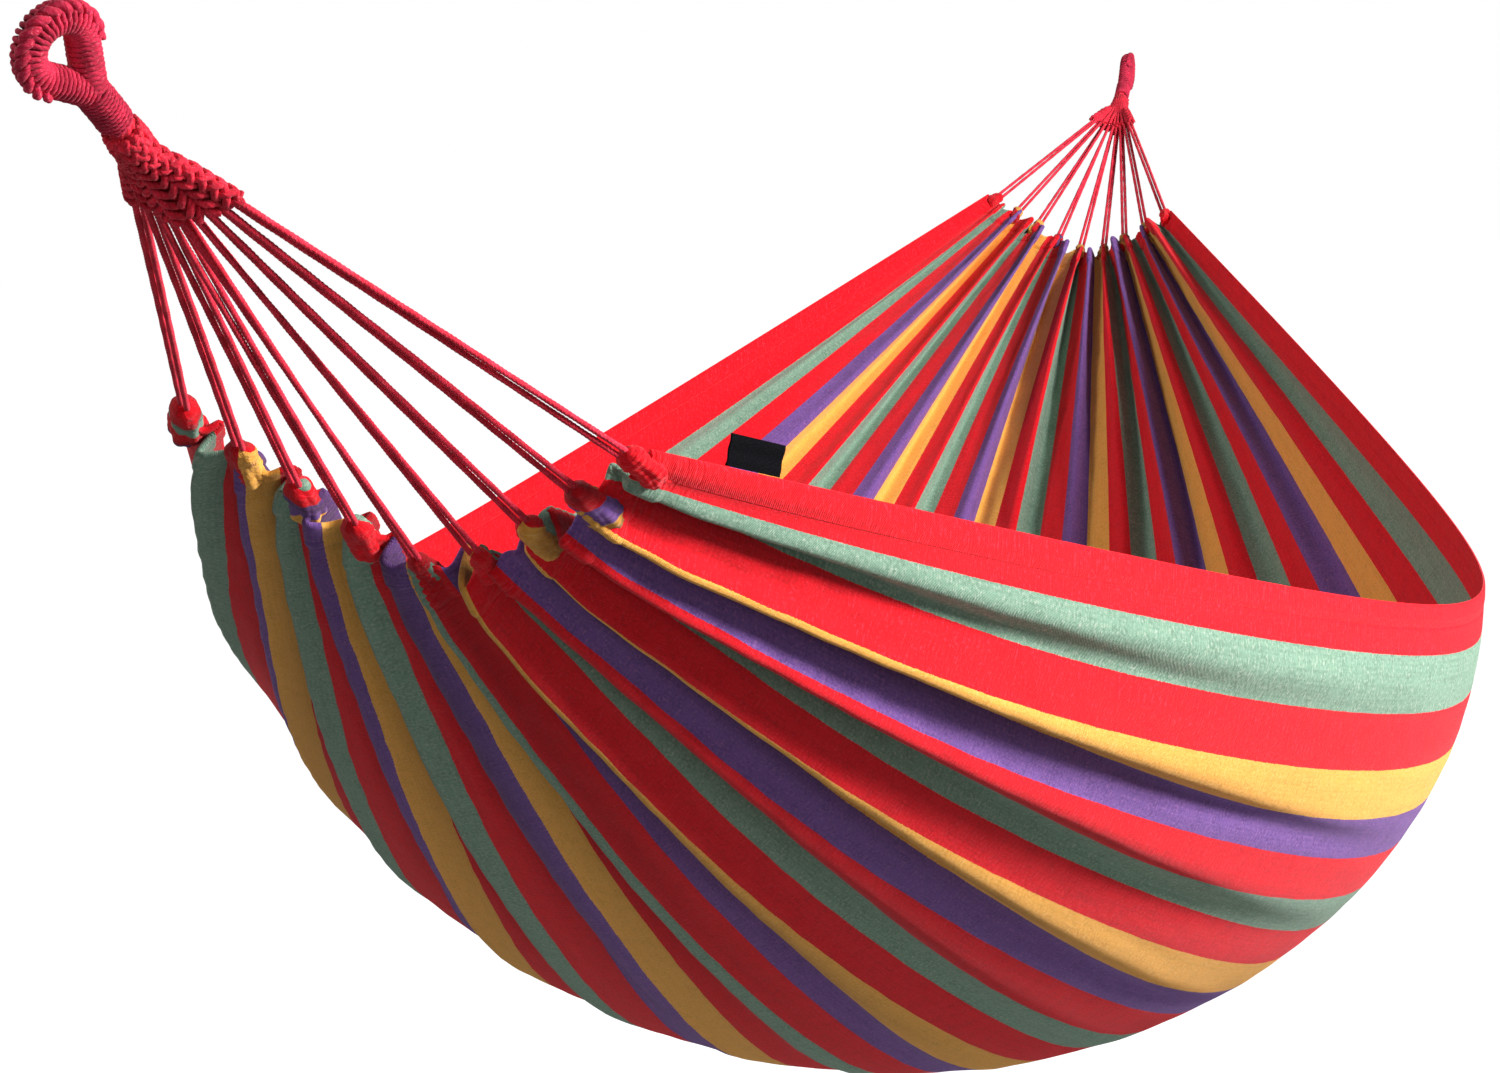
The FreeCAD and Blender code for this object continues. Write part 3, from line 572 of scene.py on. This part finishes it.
def eye_axes(end):
    """Down the neck, across the loop in its plane, and square to the loop."""
    outward = 1 if end == "near" else -1
    twist = TWISTS[end]
    neck = np.array([outward * math.cos(NECK_SLOPE), 0, -math.sin(NECK_SLOPE)])
    square = np.array([outward * math.sin(NECK_SLOPE) * math.sin(twist), math.cos(twist),
                       math.cos(NECK_SLOPE) * math.sin(twist)])
    return neck, unit(np.cross(square, neck)), square


def teardrop(end, step, last=1.0):
    """Line of the eye's rope: leg, round end, leg. The legs touch the circle and meet."""
    neck, side, _ = eye_axes(end)
    open_angle = math.acos(LOOP_RADIUS / CROTCH)
    swing = np.linspace(open_angle, 2 * math.pi - open_angle, 160)
    arc = LOOP_RADIUS * np.stack([cos(swing), sin(swing)], -1)
    tip = [[CROTCH * last, 0.0]]
    plane = np.concatenate([tip, arc, tip])
    return resampled(EYES[end] + plane[:, :1] * neck + plane[:, 1:] * side, step)


def neck_profile():
    """Reach and radius along the neck's core: a stem, then a ball by the cosine and sine of
    an angle, with its first rings kept as wide as the waist."""
    turn = np.linspace(2.55, 0.02, 22)
    ball = np.maximum(BALL_RADIUS * sin(turn), BALL_TIP)
    ball[:WAIST_RINGS] = np.maximum(ball[:WAIST_RINGS], WAIST_RADIUS)
    stem = np.linspace(NECK_START, NECK_END + 0.001, 24)
    reach = np.concatenate([stem, NECK_END + BALL_AHEAD + BALL_RADIUS * cos(turn)])
    return reach[:, None], np.concatenate([np.full(len(stem), NECK_RADIUS - 0.0002), ball])


def wound(grids, path, reference, reach, spacing, thread, ply_pitch, step, sides):
    """A thread wound round a path: a helix whose radius is the reach, a little uneven, and
    which moves on by the spacing in each turn."""
    fine = resampled(path, 0.0004)
    length = running_length(fine)
    place = np.linspace(0, length[-1], int(length[-1] / spacing * 2 * pi * reach / step))
    line = at_lengths(fine, length, place)
    heading = unit(at_lengths(np.gradient(fine, axis=0), length, place))
    normal = square_to(heading, reference)
    binormal = np.cross(heading, normal)
    angle = 2 * pi * place / spacing
    radius = reach * (1 + 0.012 * sin(place * 900) + 0.01 * sin(place * 2300 + 1))
    outward = round_from(angle, normal, binormal)
    return rope(grids, line + radius[:, None] * outward, outward, thread, 2, 0.18, ply_pitch, sides)


# %% Eyes, necks and their whipping
for end in ENDS:
    neck, _, square = eye_axes(end)
    body = end + "_eye"
    core = Grids()
    rope(core, teardrop(end, 0.0015)[1:-1], square, CORE_RADIUS, 7, 0.1, 0.05, 21)
    reach, width = neck_profile()
    rope(core, EYES[end] + reach * neck, square, width, 9, 0.09, 0.06, 36)
    core.piece(end + "_eye_rope", plait_red, body, "rope_core", end + "_eye_core")
    winding = Grids()
    whole = teardrop(end, 0.0005, last=0.985)
    wound(winding, whole, square, CORE_RADIUS + 0.0001 + THREAD / 2, THREAD_SPACING,
          THREAD / 2 * 1.06, PLY_PITCH, 0.0009, 10)
    round_end = whole[(whole - EYES[end]) @ neck < 0.010]
    away = unit(round_end - EYES[end])
    ridge = EYES[end] + away * PAIR_REACH - square * PAIR_ASIDE
    for phase in (0, pi):
        swing = running_length(ridge) * 2 * pi / PAIR_PITCH + phase
        strand = ridge + PAIR_APART * round_from(swing, away, -square)
        rope(winding, resampled(strand, 0.0007), square, PAIR_STRAND, 3, 0.14, 0.012, 12)
    winding.piece(end + "_eye_winding", whipping_red, body, "whipping_cord",
                  end + "_eye_whipping")
    collar = Grids()
    line = EYES[end] + np.linspace(CROTCH - 0.0010, NECK_END - 0.0008, 60)[:, None] * neck
    wound(collar, line, COLLAR_SLOPE * np.cross(square, neck) + neck,
          NECK_RADIUS + 0.0001 + 0.0012, COLLAR_SPACING, COLLAR_THREAD, COLLAR_PITCH, 0.0008, 8)
    collar.piece(end + "_neck_winding", whipping_red, body, "whipping_cord",
                 end + "_neck_whipping")

# %% [markdown]
# ## The fan of cords
#
# Nine cords, each doubled over its tuft, run from the end hem to the throat. Under load
# they are straight, apart from a slight bow. Each one is a three-strand rope: down one
# leg, round a small turn inside the gathered cloth, and up the other leg.

# %% Where the cords run
CORD_RADIUS, CORD_PITCH, CORD_BOW = 0.0021, 0.0105, 0.0008
CORD_STAGGER, CORD_SEAT, CORD_TURN = 0.0023, 0.004, 0.0028


def hem_angles(end):
    """Angles of the nine cords, evenly spaced along the hem, from left to right."""
    length = running_length(hem_line(end, DENSE))
    return np.interp(np.linspace(TUFT_INSET, length[-1] - TUFT_INSET, CORDS), length, DENSE)


def fan_axis(end):
    """Unit vector down the middle of the fan."""
    corners = (hem_line(end, pi / 2) + hem_line(end, -pi / 2)) / 2
    return unit((corners + hem_line(end, 0.0)) / 2 - PIVOTS[end])


def fan_place(end, angle, depth):
    """Where the line from the pivot to the hem passes a depth down the fan."""
    line = hem_line(end, angle) - PIVOTS[end]
    return PIVOTS[end] + line * (depth / (line @ fan_axis(end)))[..., None]


def fan_outward(end, angle):
    """Unit vector out of the fan, from the middle between its two sides."""
    sides = (fan_place(end, pi / 2, THROAT_LENGTH)
             + fan_place(end, -pi / 2, THROAT_LENGTH)) / 2
    return unit(fan_place(end, angle, THROAT_LENGTH) - sides)


def cord_seat(end, angle):
    """Where a cord meets the hem, the way it runs, and the way along the hem."""
    seat = hem_line(end, angle)
    heading = unit(seat - PIVOTS[end])
    tangent = unit(hem_line(end, angle + NUDGE) - hem_line(end, angle - NUDGE))
    return seat, heading, square_to(heading, tangent)


def cord_path(end, angle):
    """Leg, turn and leg of one doubled cord."""
    seat, heading, sideways = cord_seat(end, angle)
    stagger = fan_outward(end, angle) * CORD_STAGGER
    if stagger @ sideways < 0:
        stagger = -stagger
    top = fan_place(end, angle, THROAT_LENGTH - 0.004)
    bottom = seat + heading * (CORD_SEAT - CORD_TURN)
    turn = bottom + CORD_TURN * round_from(np.linspace(0, pi, 15), sideways, heading)
    return np.concatenate([[top + stagger], turn, [top - stagger]]), np.cross(heading, sideways)


# %% Eighteen doubled cords
random = np.random.default_rng(7)
for end in ENDS:
    for number, angle in enumerate(hem_angles(end), start=1):
        path, across = cord_path(end, angle)
        path = resampled(path, 0.0012)
        share = np.linspace(0, 1, len(path))
        bow = sin(2 * pi * share)[:, None] ** 2 * across * random.uniform(-CORD_BOW, CORD_BOW)
        radius = CORD_RADIUS * (1 + 0.04 * sin(share * 140 + number))
        doubled = rope(Grids(), path + bow, across, radius, 3, 0.2, CORD_PITCH, 9, start=number)
        doubled.piece(f"{end}_twisted_cord_{number}", clew_red, "bed", "clew_cord",
                      f"{end}_cord_{number}")

# %% [markdown]
# ## The plaited throat
#
# Below the neck the legs are plaited into a firm cone that opens into the fan. Each pair
# of legs twists as it runs down, one pair to the right and the next to the left, so that
# neighbours read as the V of a plait. The outer wall has eleven such pairs, the inner
# wall has nine plain legs, and a smooth cone inside them fills the gaps.

# %% The wall of the throat
RING_RADIUS, RING_FLARE = 0.0078, 0.0016 / 0.025
TROUGH_HALF, TROUGH_SQUARENESS = 0.0036, 0.45
OPENS_FROM, OPENS_TO = 0.008, 0.042
WALL_ROWS, WALL_COLUMNS, CONE_INSIDE = 36, 96, -0.0012
PAIRS, PLAIN_LEGS = 11, 9
PAIR_TWIST, STRAND_RADIUS, STRAND_APART = 0.017, 0.0023, 0.0013


def wall_place(end, depth, turn, swell):
    """Place in the throat's wall, a circle near the neck and a trough near the cords. The
    turn runs along the outer side from 0 to a half, and back along the inner side."""
    angle = -pi / 2 * cos(2 * pi * turn)
    lift = sin(2 * pi * turn)
    thick = TROUGH_HALF * (0.45 + 0.55 * depth / THROAT_LENGTH) + swell
    half = thick * np.sign(lift) * np.abs(lift) ** TROUGH_SQUARENESS
    trough = fan_place(end, angle, depth) + fan_outward(end, angle) * half[..., None]
    axis, middle_out = fan_axis(end), fan_outward(end, 0.0)
    left = np.cross(middle_out, axis)
    left = left if left[1] > 0 else -left
    radius = (RING_RADIUS + RING_FLARE * depth + swell)[..., None]
    ring = PIVOTS[end] + axis * depth[..., None] + radius * round_from(
        2 * pi * turn, -left, middle_out)
    mix = smooth(depth, OPENS_FROM, OPENS_TO)[..., None]
    return ring * (1 - mix) + trough * mix


# %% Cones, twisted pairs and plain legs
for end in ENDS:
    plait = Grids()
    around = np.linspace(0, 1, WALL_COLUMNS + 1)
    turns, depths = np.meshgrid(around[:-1], np.linspace(0.001, 0.0705, WALL_ROWS))
    down = np.linspace(0, 0.07, WALL_ROWS)
    plait.add(wall_place(end, depths, turns, CONE_INSIDE),
              flat_map(around, down[:, None]), cap=True)
    depth = np.linspace(0.0002, 0.0715, 150)
    for column, place in enumerate(np.linspace(0.02, 0.48, PAIRS)):
        centre = wall_place(end, depth, place, 0.0006)
        heading = unit(np.gradient(centre, axis=0))
        beside = square_to(heading, wall_place(end, depth, place + 0.01, 0.0006) - centre)
        out = np.cross(heading, beside)
        sense = 1 if column % 2 else -1
        apart = (STRAND_APART + STRAND_APART * np.clip(depth / 0.03, 0, 1))[:, None]
        for phase in (0, pi):
            swing = sense * running_length(centre) * 2 * pi / PAIR_TWIST
            strand = centre + apart * round_from(swing + phase + column * 0.4, out, beside)
            rope(plait, strand, out, STRAND_RADIUS, 3, 0.16, 0.012, 10)
    for place in np.linspace(0.55, 0.95, PLAIN_LEGS):
        leg = wall_place(end, depth, place, 0.0004)
        rope(plait, leg, fan_outward(end, 0.0), CORD_RADIUS, 3, 0.2, CORD_PITCH, 9)
    plait.piece(end + "_plaited_throat", plait_red, "bed", "clew_cord", end + "_throat_weave")

# %% [markdown]
# ## How the cloth folds
#
# The canvas is 1.63 m wide where it lies open and less than 0.4 m wide at its hems, so
# the extra width stands up in lengthwise folds. Their height is a share of the distance
# between them, grows beside the hems and fades as the bed opens. Cloth simulation can
# make such folds, but it takes minutes and wanders from the sizes. Computed folds stay
# where the hem holds them.

# %% Sizes of the folds
# Reaches, the hold's push, creases and puckers are in metres. The heights are shares of
# the distance between two folds.
FOLDS, FOLD_START, FOLD_HEIGHT, FOLD_LEAN = 13, 0.75, 0.27, 0.7
FOLD_DRIFT, FOLD_STRENGTH, FOLD_SWAY = 0.22, 0.2, 3.9
GATHER_HEIGHT, GATHER_REACH = 0.5, 0.2
SECOND_WAVE, THIRD_WAVE, SLIDE, SLIDE_ASIDE = 0.12, 0.06, 0.4, 0.9
LEFT_PULL, SECOND_PULL, RIGHT_PUSH = 0.15, 0.6, 1.15
HOLD_REACH, HOLD_PUSH, HOLD_SLIDE = 0.035, 0.007, 0.72
CREASE, PUCKER, PUCKER_REACH = 0.0009, 0.0008, 0.03
INNER_WIDTH = CLOTH_WIDTH - 2 * SIDE_HEM


# %% The width of the cloth's base line
middle_line = np.stack([0 * DENSE, BED_HALF_WIDTH * sin(DENSE), -BED_DEPTH * cos(DENSE)], -1)
runs = {end: running_length(hem_line(end, DENSE)) for end in ENDS}
runs["middle"] = running_length(middle_line)
LENGTHS = {name: run[-1] for name, run in runs.items()}
SHARES = {name: run / run[-1] for name, run in runs.items()}
print("widths of the cloth's base line", {k: round(v, 3) for k, v in LENGTHS.items()})


def opening(along):
    """How far the cross-section has opened from a hem to the middle, 0 to 1."""
    return np.clip(sag_share(along), 0, 1) ** 0.9


def base_width(along):
    """Width of the cloth's base line at a place along it."""
    hem = LENGTHS["near"] * (1 - along) + LENGTHS["far"] * along
    return hem + (LENGTHS["middle"] - hem) * opening(along)


def angle_of(share, along):
    """Angle across the cloth at a share of its arc, by its arcs at the hems and half-way."""
    share = np.broadcast_to(share, np.broadcast_shapes(np.shape(share), np.shape(along)))
    near, far, middle = (np.interp(share, SHARES[k], DENSE) for k in ("near", "far", "middle"))
    wide = opening(along)
    return (near * (1 - along) + far * along) * (1 - wide) + middle * wide


# %% The folds and the folded cloth
def folds(share, along):
    """The long low folds as a leaning cosine of the fold number, the tall ones beside a hem
    with narrower valleys, and the push aside that lets their ridges overhang."""
    number = FOLDS * share - FOLD_START
    number = number - FOLD_DRIFT * cos(pi * share) * (1 - cos(pi * number)) / 2
    strength = 1 + FOLD_STRENGTH * sin(2 * pi * FOLD_SWAY * share + pi * along)
    turn = 2 * pi * number
    leaning = turn + FOLD_LEAN * cos(turn)
    long_ones = strength * cos(leaning)
    tall_ones = (long_ones - SECOND_WAVE * cos(2 * leaning)
                 + THIRD_WAVE * cos(3 * turn + 1 + 9 * along))
    slide = (SLIDE * sin(turn) - SLIDE_ASIDE * cos(leaning)) / (2 * pi)
    return long_ones, tall_ones, slide


def cloth_place(share, along):
    """Distance across the flat cloth of a point of the bed. The gathering at the near hem
    draws the cloth aside by up to about a stripe, so that purple hides in every second
    valley at the left and yellow in the valleys at the right. It fades towards the middle
    and the sides."""
    share, along = np.broadcast_arrays(share, along)
    second = (1 - cos(pi * (FOLDS * share - FOLD_START))) / 2
    right_side = smooth(share, 0.46, 0.62)
    pull = (LEFT_PULL + SECOND_PULL * second) * (1 - right_side) - RIGHT_PUSH * right_side
    fade = (1 - smooth(along, 0.08, 0.55)) * smooth(share, 0, 0.05)
    fade = fade * smooth(1 - share, 0, 0.11)
    return SIDE_HEM + share * INNER_WIDTH - pull * fade * STRIPE


def beside_cords(end, share):
    """The cord's number at a share of an end hem, how near a cord is, from 0 to 1, and the
    distance between two cords."""
    reach = (LENGTHS[end] - 2 * TUFT_INSET) / (CORDS - 1)
    cord = (share * (LENGTHS[end] - 2 * SIDE_HEM) + SIDE_HEM - TUFT_INSET) / reach
    return cord, 0.5 + 0.5 * cos(2 * pi * cord), reach


def folded_cloth(share, along, from_near, from_far):
    """Points of the folded cloth, with creases along it and puckers beside the hems. share
    runs from the left to the right side hem, and along from the near to the far end."""
    share, along, from_near, from_far = np.broadcast_arrays(share, along, from_near, from_far)
    width = base_width(along)
    inset = SIDE_HEM / width
    angle = angle_of(inset + share * (1 - 2 * inset), along)
    point = bed_surface(along, angle)
    across = unit(bed_surface(along, angle - NUDGE) - bed_surface(along, angle + NUDGE))
    lengthwise = unit(bed_surface(along + NUDGE, angle) - bed_surface(along - NUDGE, angle))
    outward = np.cross(lengthwise, across)
    spacing = (width - 2 * SIDE_HEM) / FOLDS
    gathered = 1 - opening(along)
    long_ones, tall_ones, slide = folds(share, along)
    nearest = np.minimum(from_near, from_far)
    gather = np.exp(-nearest.clip(0) / GATHER_REACH)
    edge = smooth(share, 0, 0.06) * smooth(1 - share, 0, 0.06)
    lift = smooth(np.minimum(along, 1 - along), 0.01, 0.2)
    height = FOLD_HEIGHT * (long_ones + lift) + GATHER_HEIGHT * gather * tall_ones
    push = height * spacing * gathered * edge
    slide = slide * spacing * np.sqrt(gather) * gathered * edge
    for end, distance in zip(ENDS, (from_near, from_far)):
        hold = np.exp(-np.maximum(distance, 0) / HOLD_REACH)
        cord, near_cord, reach = beside_cords(end, share)
        push = push * (1 - hold * (0.35 + 0.4 * near_cord))
        push = push - hold * HOLD_PUSH * (1 - near_cord) * edge
        slide = slide - sin(2 * pi * cord) / (2 * pi) * reach * HOLD_SLIDE * hold * edge
    creases = (
        sin(share * 210 + 5 * sin(along * 31)) * sin(along * 83 + 7 * sin(share * 17))
        + sin(share * 97 + 3 * sin(along * 57 + 2)) * sin(along * 140 + share * 40))
    push = push + CREASE * creases * edge * (0.3 + 0.7 * gathered)
    beside = np.exp(-(nearest / PUCKER_REACH) ** 2)
    puckers = sin(nearest * 1050 + 7 * sin(share * 61) + share * 300)
    push = push + PUCKER * puckers * beside * edge * (0.5 + 0.5 * sin(share * 133 + 2))
    return point + outward * push[..., None] + across * slide[..., None]


def hem_speed(end, share):
    """Metres of cloth for each unit along, beside a hem."""
    angle = np.interp(share, SHARES[end], DENSE)
    first, second = (0.0, 0.004) if end == "near" else (1.0, 0.996)
    return np.linalg.norm(bed_surface(second, angle) - bed_surface(first, angle), axis=-1) / 0.004


def rows_between(first, last, count):
    """Places along the cloth from the first to the last, closer together beside the hems."""
    t = np.linspace(0, 1, count)[:, None]
    rows = t - 0.13 * sin(2 * pi * t)
    return first * (1 - rows) + last * rows


# %% The bed of the hammock
columns = np.linspace(0, 1, 330)
near_speed, far_speed = (hem_speed(end, columns) for end in ENDS)
lap = END_HEM - 0.002
along = rows_between(lap / near_speed, 1 - lap / far_speed, 138)
cloth_run = along * CLOTH_LENGTH
points = folded_cloth(columns, along, cloth_run, CLOTH_LENGTH - cloth_run)
flat = flat_map(cloth_place(columns, along), cloth_run)
bed = Grids().sheet(points, 0.0008, flat).piece(
    "bed_canvas", canvas, "bed", "striped_canvas", "bed_cloth")

# %% [markdown]
# ## Side hems
#
# Along each side the cloth is turned over and sewn down, which makes a smooth band a
# little thicker than the canvas, with a rounded outer edge. It stays flat where the
# folds beside it start.

# %% Side hems
def band_half(inward, half, edge, least, thinning):
    """Half the thickness of a sewn band: a quarter round over its edge, then full, and half
    as thick where it ends on the cloth."""
    quarter = np.sqrt(np.clip(1 - (1 - np.clip(inward / edge, 0, 1)) ** 2, least, 1))
    return half * quarter * (1 - 0.5 * smooth(inward, *thinning))


for side, name in enumerate(("left", "right")):
    along = rows_between(0.006 / hem_speed("near", side), 1 - 0.006 / hem_speed("far", side), 260)
    inward = np.linspace(0, 1, 22)
    share = inward * (SIDE_HEM + 0.0012) / base_width(along)
    points = bed_surface(along, angle_of(1 - share if side else share, along))
    distance = CLOTH_WIDTH - inward * SIDE_HEM if side else inward * SIDE_HEM
    half = band_half(inward, 0.0017, 0.16, 0.02, (0.6, 0.98))
    band = Grids().sheet(points, half, flat_map(distance, along * CLOTH_LENGTH))
    band.piece(name + "_sewn_edge", canvas, "bed", "hem_canvas",
                                name + "_side_hem")

# %% [markdown]
# ## End hems and tufts
#
# At each end the cloth is rolled over into a hem, which rises to each cord and hangs
# between them. Every cord passes through a tuft of it, a small knob with pleats.

# %% End hems
def hem_piece(end):
    """The rolled end of the folded cloth, from a brim that rises by a power of how near a
    cord is, to the first row of the bed."""
    columns = np.linspace(0, 1, 860)
    t = np.linspace(0, 1, 34)[:, None]
    _, near_cord, _ = beside_cords(end, columns)
    brim = (0.006 - 0.014 * near_cord**1.6 + 0.0015 * sin(columns * 173)
            + 0.001 * sin(columns * 311 + 1))
    distance = brim + (END_HEM + 0.003 - brim) * t
    along = distance / hem_speed(end, columns)
    along = along if end == "near" else 1 - along
    far_off = np.full_like(distance, CLOTH_LENGTH)
    distances = (distance, far_off) if end == "near" else (far_off, distance)
    points = folded_cloth(columns, along, *distances)
    flat = flat_map(cloth_place(columns, along), along * CLOTH_LENGTH)
    rolled = Grids().sheet(points, band_half(t, 0.0024, 0.12, 0.03, (0.85, 1.0)), flat)
    return rolled.piece(end + "_gathered_hem", canvas, "bed", "hem_canvas", end + "_end_hem")


# %% Tufts
# Of each tuft, from left to right: the stripe at its top, the stripes that it passes down
# its length and those that it swirls through round it, and its size.
TUFTS = {
    "near": ((0.3, 3.3, 0.2, 1.3), (5.4, -0.9, 0.45, 1.15), (7.3, 1.9, 0.5, 1.2),
             (12.4, -0.7, 0.5, 1.15), (15.3, 0.9, 0.4, 0.8), (20.4, 0.8, 0.5, 0.85),
             (25.3, -0.5, 0.4, 1.05), (27.4, 1.9, 0.35, 1.2), (32.6, -0.1, 0.1, 1.0)),
    "far": ((0.4, 0.3, 0.2, 0.8), (4.4, 0.9, 0.4, 0.75), (9.4, 0.6, 0.4, 0.8),
            (12.4, 0.8, 0.5, 0.7), (14.4, 0.9, 0.4, 0.75), (19.3, 0.5, 0.5, 0.7),
            (24.3, 0.7, 0.4, 0.8), (29.3, 0.6, 0.4, 0.75), (32.5, 0.1, 0.2, 0.85)),
}
TUFT_TOP, TUFT_LENGTH, TUFT_LEAN, TUFT_BROAD = -0.015, 0.036, 0.0022, 1.08
TUFT_RUN = (0, 0.05, 0.14, 0.26, 0.38, 0.5, 0.68, 0.85, 1.0)
TUFT_RADIUS = (0.0032, 0.0056, 0.0074, 0.0082, 0.0076, 0.0078, 0.0090, 0.0092, 0.0066)
PLEATS_AT_TOP, PLEAT_GROWTH, LUMPS, RINGS = 0.05, 0.17, 0.10, 0.00022


def tuft_piece(end):
    """Knobs of gathered cloth: rounded columns along the cords, with a waist. The pleats are
    absolute cosines round them that grow towards the foot."""
    grids = Grids()
    run = np.linspace(0, 1, 56)[:, None]
    around = np.linspace(0, 2 * pi, 97)
    turn = around[:-1]
    for number, (angle, tuft) in enumerate(zip(hem_angles(end), TUFTS[end])):
        stripe, passed, swirl, size = tuft
        seat, heading, sideways = cord_seat(end, angle)
        out = np.cross(heading, sideways)
        bulge = np.interp(run, TUFT_RUN, TUFT_RADIUS) * size
        fold = (np.abs(cos(2.5 * turn + 1.6 * run + number))
                + 0.5 * np.abs(cos(4 * turn - 3 * run + 2 * number)))
        lump = sin(2 * turn + number * 1.7 + 2 * run) * sin(4.4 * run + number)
        rings = sin(run * 46 + 1.5 * sin(turn + number) + number)
        pleats = (PLEATS_AT_TOP + PLEAT_GROWTH * run) * (fold - 0.95)
        radius = bulge * (1 + pleats + LUMPS * lump) + RINGS * rings
        place = (TUFT_TOP + TUFT_LENGTH * run) * size
        lean = TUFT_LEAN * sin(3 * run + number * 2.1) * run
        points = (seat + heading * place[..., None] + sideways * lean[..., None]
                  + radius[..., None] * round_from(turn, sideways * TUFT_BROAD, out))
        stripes = stripe + passed * run - 1 + swirl * sin(around + 2.2 * run + number)
        across = (EDGE_STRIPE + stripes * STRIPE).clip(0.001, CLOTH_WIDTH - 0.001)
        grids.add(points, flat_map(across, run * 0.04 + around * 0.006), cap=True)
    return grids.piece(end + "_tufts", canvas, "bed", "hem_canvas")


hems = [hem_piece(end) for end in ENDS]
tufts = [tuft_piece(end) for end in ENDS]

# %% [markdown]
# ## The sewn-on tag
#
# A small black woven tag without print stands off the right side hem. It is a thin
# sheet with a slight curl, finely ribbed like tape, and a bead of thread at its root.

# %% Tag
TAG_HALF, TAG_ROOT, TAG_TOP = 0.024, -0.0006, 0.0196
RIBS_ACROSS, RIBS_UP = 1100, 1500  # to the metre


def tag_material():
    """Black tape: fine crossed ribs, and a grain that turns a little of it dark grey."""
    material, shader, flat = new_material("tag_tape", 0.9, specular=0.02)
    grain = flat.noise(900.0, 2.0)
    colour = grain.between(0.4, 0.75).blended(linear(10, 10, 12), linear(24, 24, 28))
    ribs = flat.axis(0).wave(RIBS_ACROSS) * 0.3 + flat.axis(1).wave(RIBS_UP)
    return finished(material, shader, colour, ribs + grain, 0.0003, 0.35)


hinge = joints["tag_fold"]
hinge_at, hinge_axis = np.array(hinge["pos_m"], float), unit(np.array(hinge["axis"], float))
tag_up = square_to(hinge_axis, np.array(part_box("side_tag")).mean(0) - hinge_at)
tag_out = np.cross(hinge_axis, tag_up)
x = np.linspace(-TAG_HALF, TAG_HALF, 41)
y = np.linspace(TAG_ROOT, TAG_TOP, 22)[:, None]
curl = 0.0006 * sin(x * 70 + 0.6) * (y / 0.02) ** 2 + 0.0004 * sin(y * 500)
points = hinge_at + x[..., None] * hinge_axis + y[..., None] * tag_up + curl[..., None] * tag_out
tag = Grids().sheet(points, 0.0005, flat_map(x, y))
bead = hinge_at + np.linspace(-TAG_HALF, TAG_HALF, 40)[:, None] * hinge_axis
rope(tag, bead, tag_up, 0.0009, 2, 0.1, 0.02, 10)
tag.piece("blank_tag", tag_material(), "tag", "tag_cloth", "side_tag")

# %% [markdown]
# ## The cloth
#
# The bed is one sheet of canvas.

# %% [markdown]
# ## Stage and light
#
# The floor and the world are white to the camera and in reflections and dim otherwise,
# so that the background doesn't light the cloth. One soft lamp stands on the right, a
# weak one lights the near eye, and a third stands behind the left side.

# %% Floor and world
FLOOR_HEIGHT, WHITE, WORLD_LIGHT = -1.75, (1, 1, 1, 1), 0.12


def emptied(holder):
    """The node tree of a material or a world, without its nodes."""
    holder.use_nodes = True
    holder.node_tree.nodes.clear()
    return holder.node_tree


def seen_directly(tree):
    """1 for rays from the camera, a reflection or a clear thing, and 0 for the others."""
    rays = tree.nodes.new("ShaderNodeLightPath").outputs
    eye, glossy, clear = (Wire(tree, rays[f"Is {kind} Ray"])
                          for kind in ("Camera", "Glossy", "Transmission"))
    return eye.node("ShaderNodeClamp", Value=eye + glossy + clear)


def show(surface, kind):
    """Plugs a surface into an output node."""
    output = surface.tree.nodes.new(kind)
    surface.tree.links.new(surface.socket, output.inputs["Surface"])


floor_mesh = bpy.data.meshes.new("floor")
corners = (-30, -30), (33, -30), (33, 30), (-30, 30)
floor_mesh.from_pydata([(*corner, FLOOR_HEIGHT) for corner in corners], [], [(0, 1, 2, 3)])
placed("floor", floor_mesh)
floor_material = bpy.data.materials.new("pale_floor")
seen = seen_directly(emptied(floor_material))
matt = seen.node("ShaderNodeBsdfDiffuse", Color=(0.35, 0.35, 0.35, 1))
glow = seen.node("ShaderNodeEmission", Color=WHITE, Strength=1.0)
both = seen.node("ShaderNodeAddShader", _0=matt, _1=glow)
plain = seen.node("ShaderNodeBsdfDiffuse", Color=(0.3, 0.3, 0.3, 1))
show(seen.node("ShaderNodeMixShader", _0=seen, _1=plain, _2=both), "ShaderNodeOutputMaterial")
floor_mesh.materials.append(floor_material)

world = bpy.data.worlds.new("studio")
bpy.context.scene.world = world
seen = seen_directly(emptied(world))
lit = seen.node("ShaderNodeBackground", Color=WHITE, Strength=WORLD_LIGHT)
white = seen.node("ShaderNodeBackground", Color=WHITE, Strength=1.0)
show(seen.node("ShaderNodeMixShader", _0=seen, _1=lit, _2=white), "ShaderNodeOutputWorld")


# %% Lamps
def soft_lamp(name, place, target, size, watts):
    """A square lamp that looks at a point."""
    lamp = bpy.data.lights.new(name, "AREA")
    lamp.shape, lamp.size, lamp.energy = "SQUARE", size, watts
    back = unit(np.array(place, float) - np.array(target, float))
    side = unit(np.cross([0, 0, 1], back))
    aim(placed(name, lamp), side, np.cross(back, side), back, place)


soft_lamp("key", (0.9, -2.9, 0.75), (1.2, 0, -0.5), 0.9, 215)
soft_lamp("fill", (-1.5, -0.3, 0.5), (0.3, 0, -0.3), 0.6, 6)
soft_lamp("back", (1.1, 2.9, 1.5), (1.9, 0, -0.3), 1.0, 42)
bpy.context.scene.view_settings.view_transform = "Standard"
print("stage ready")
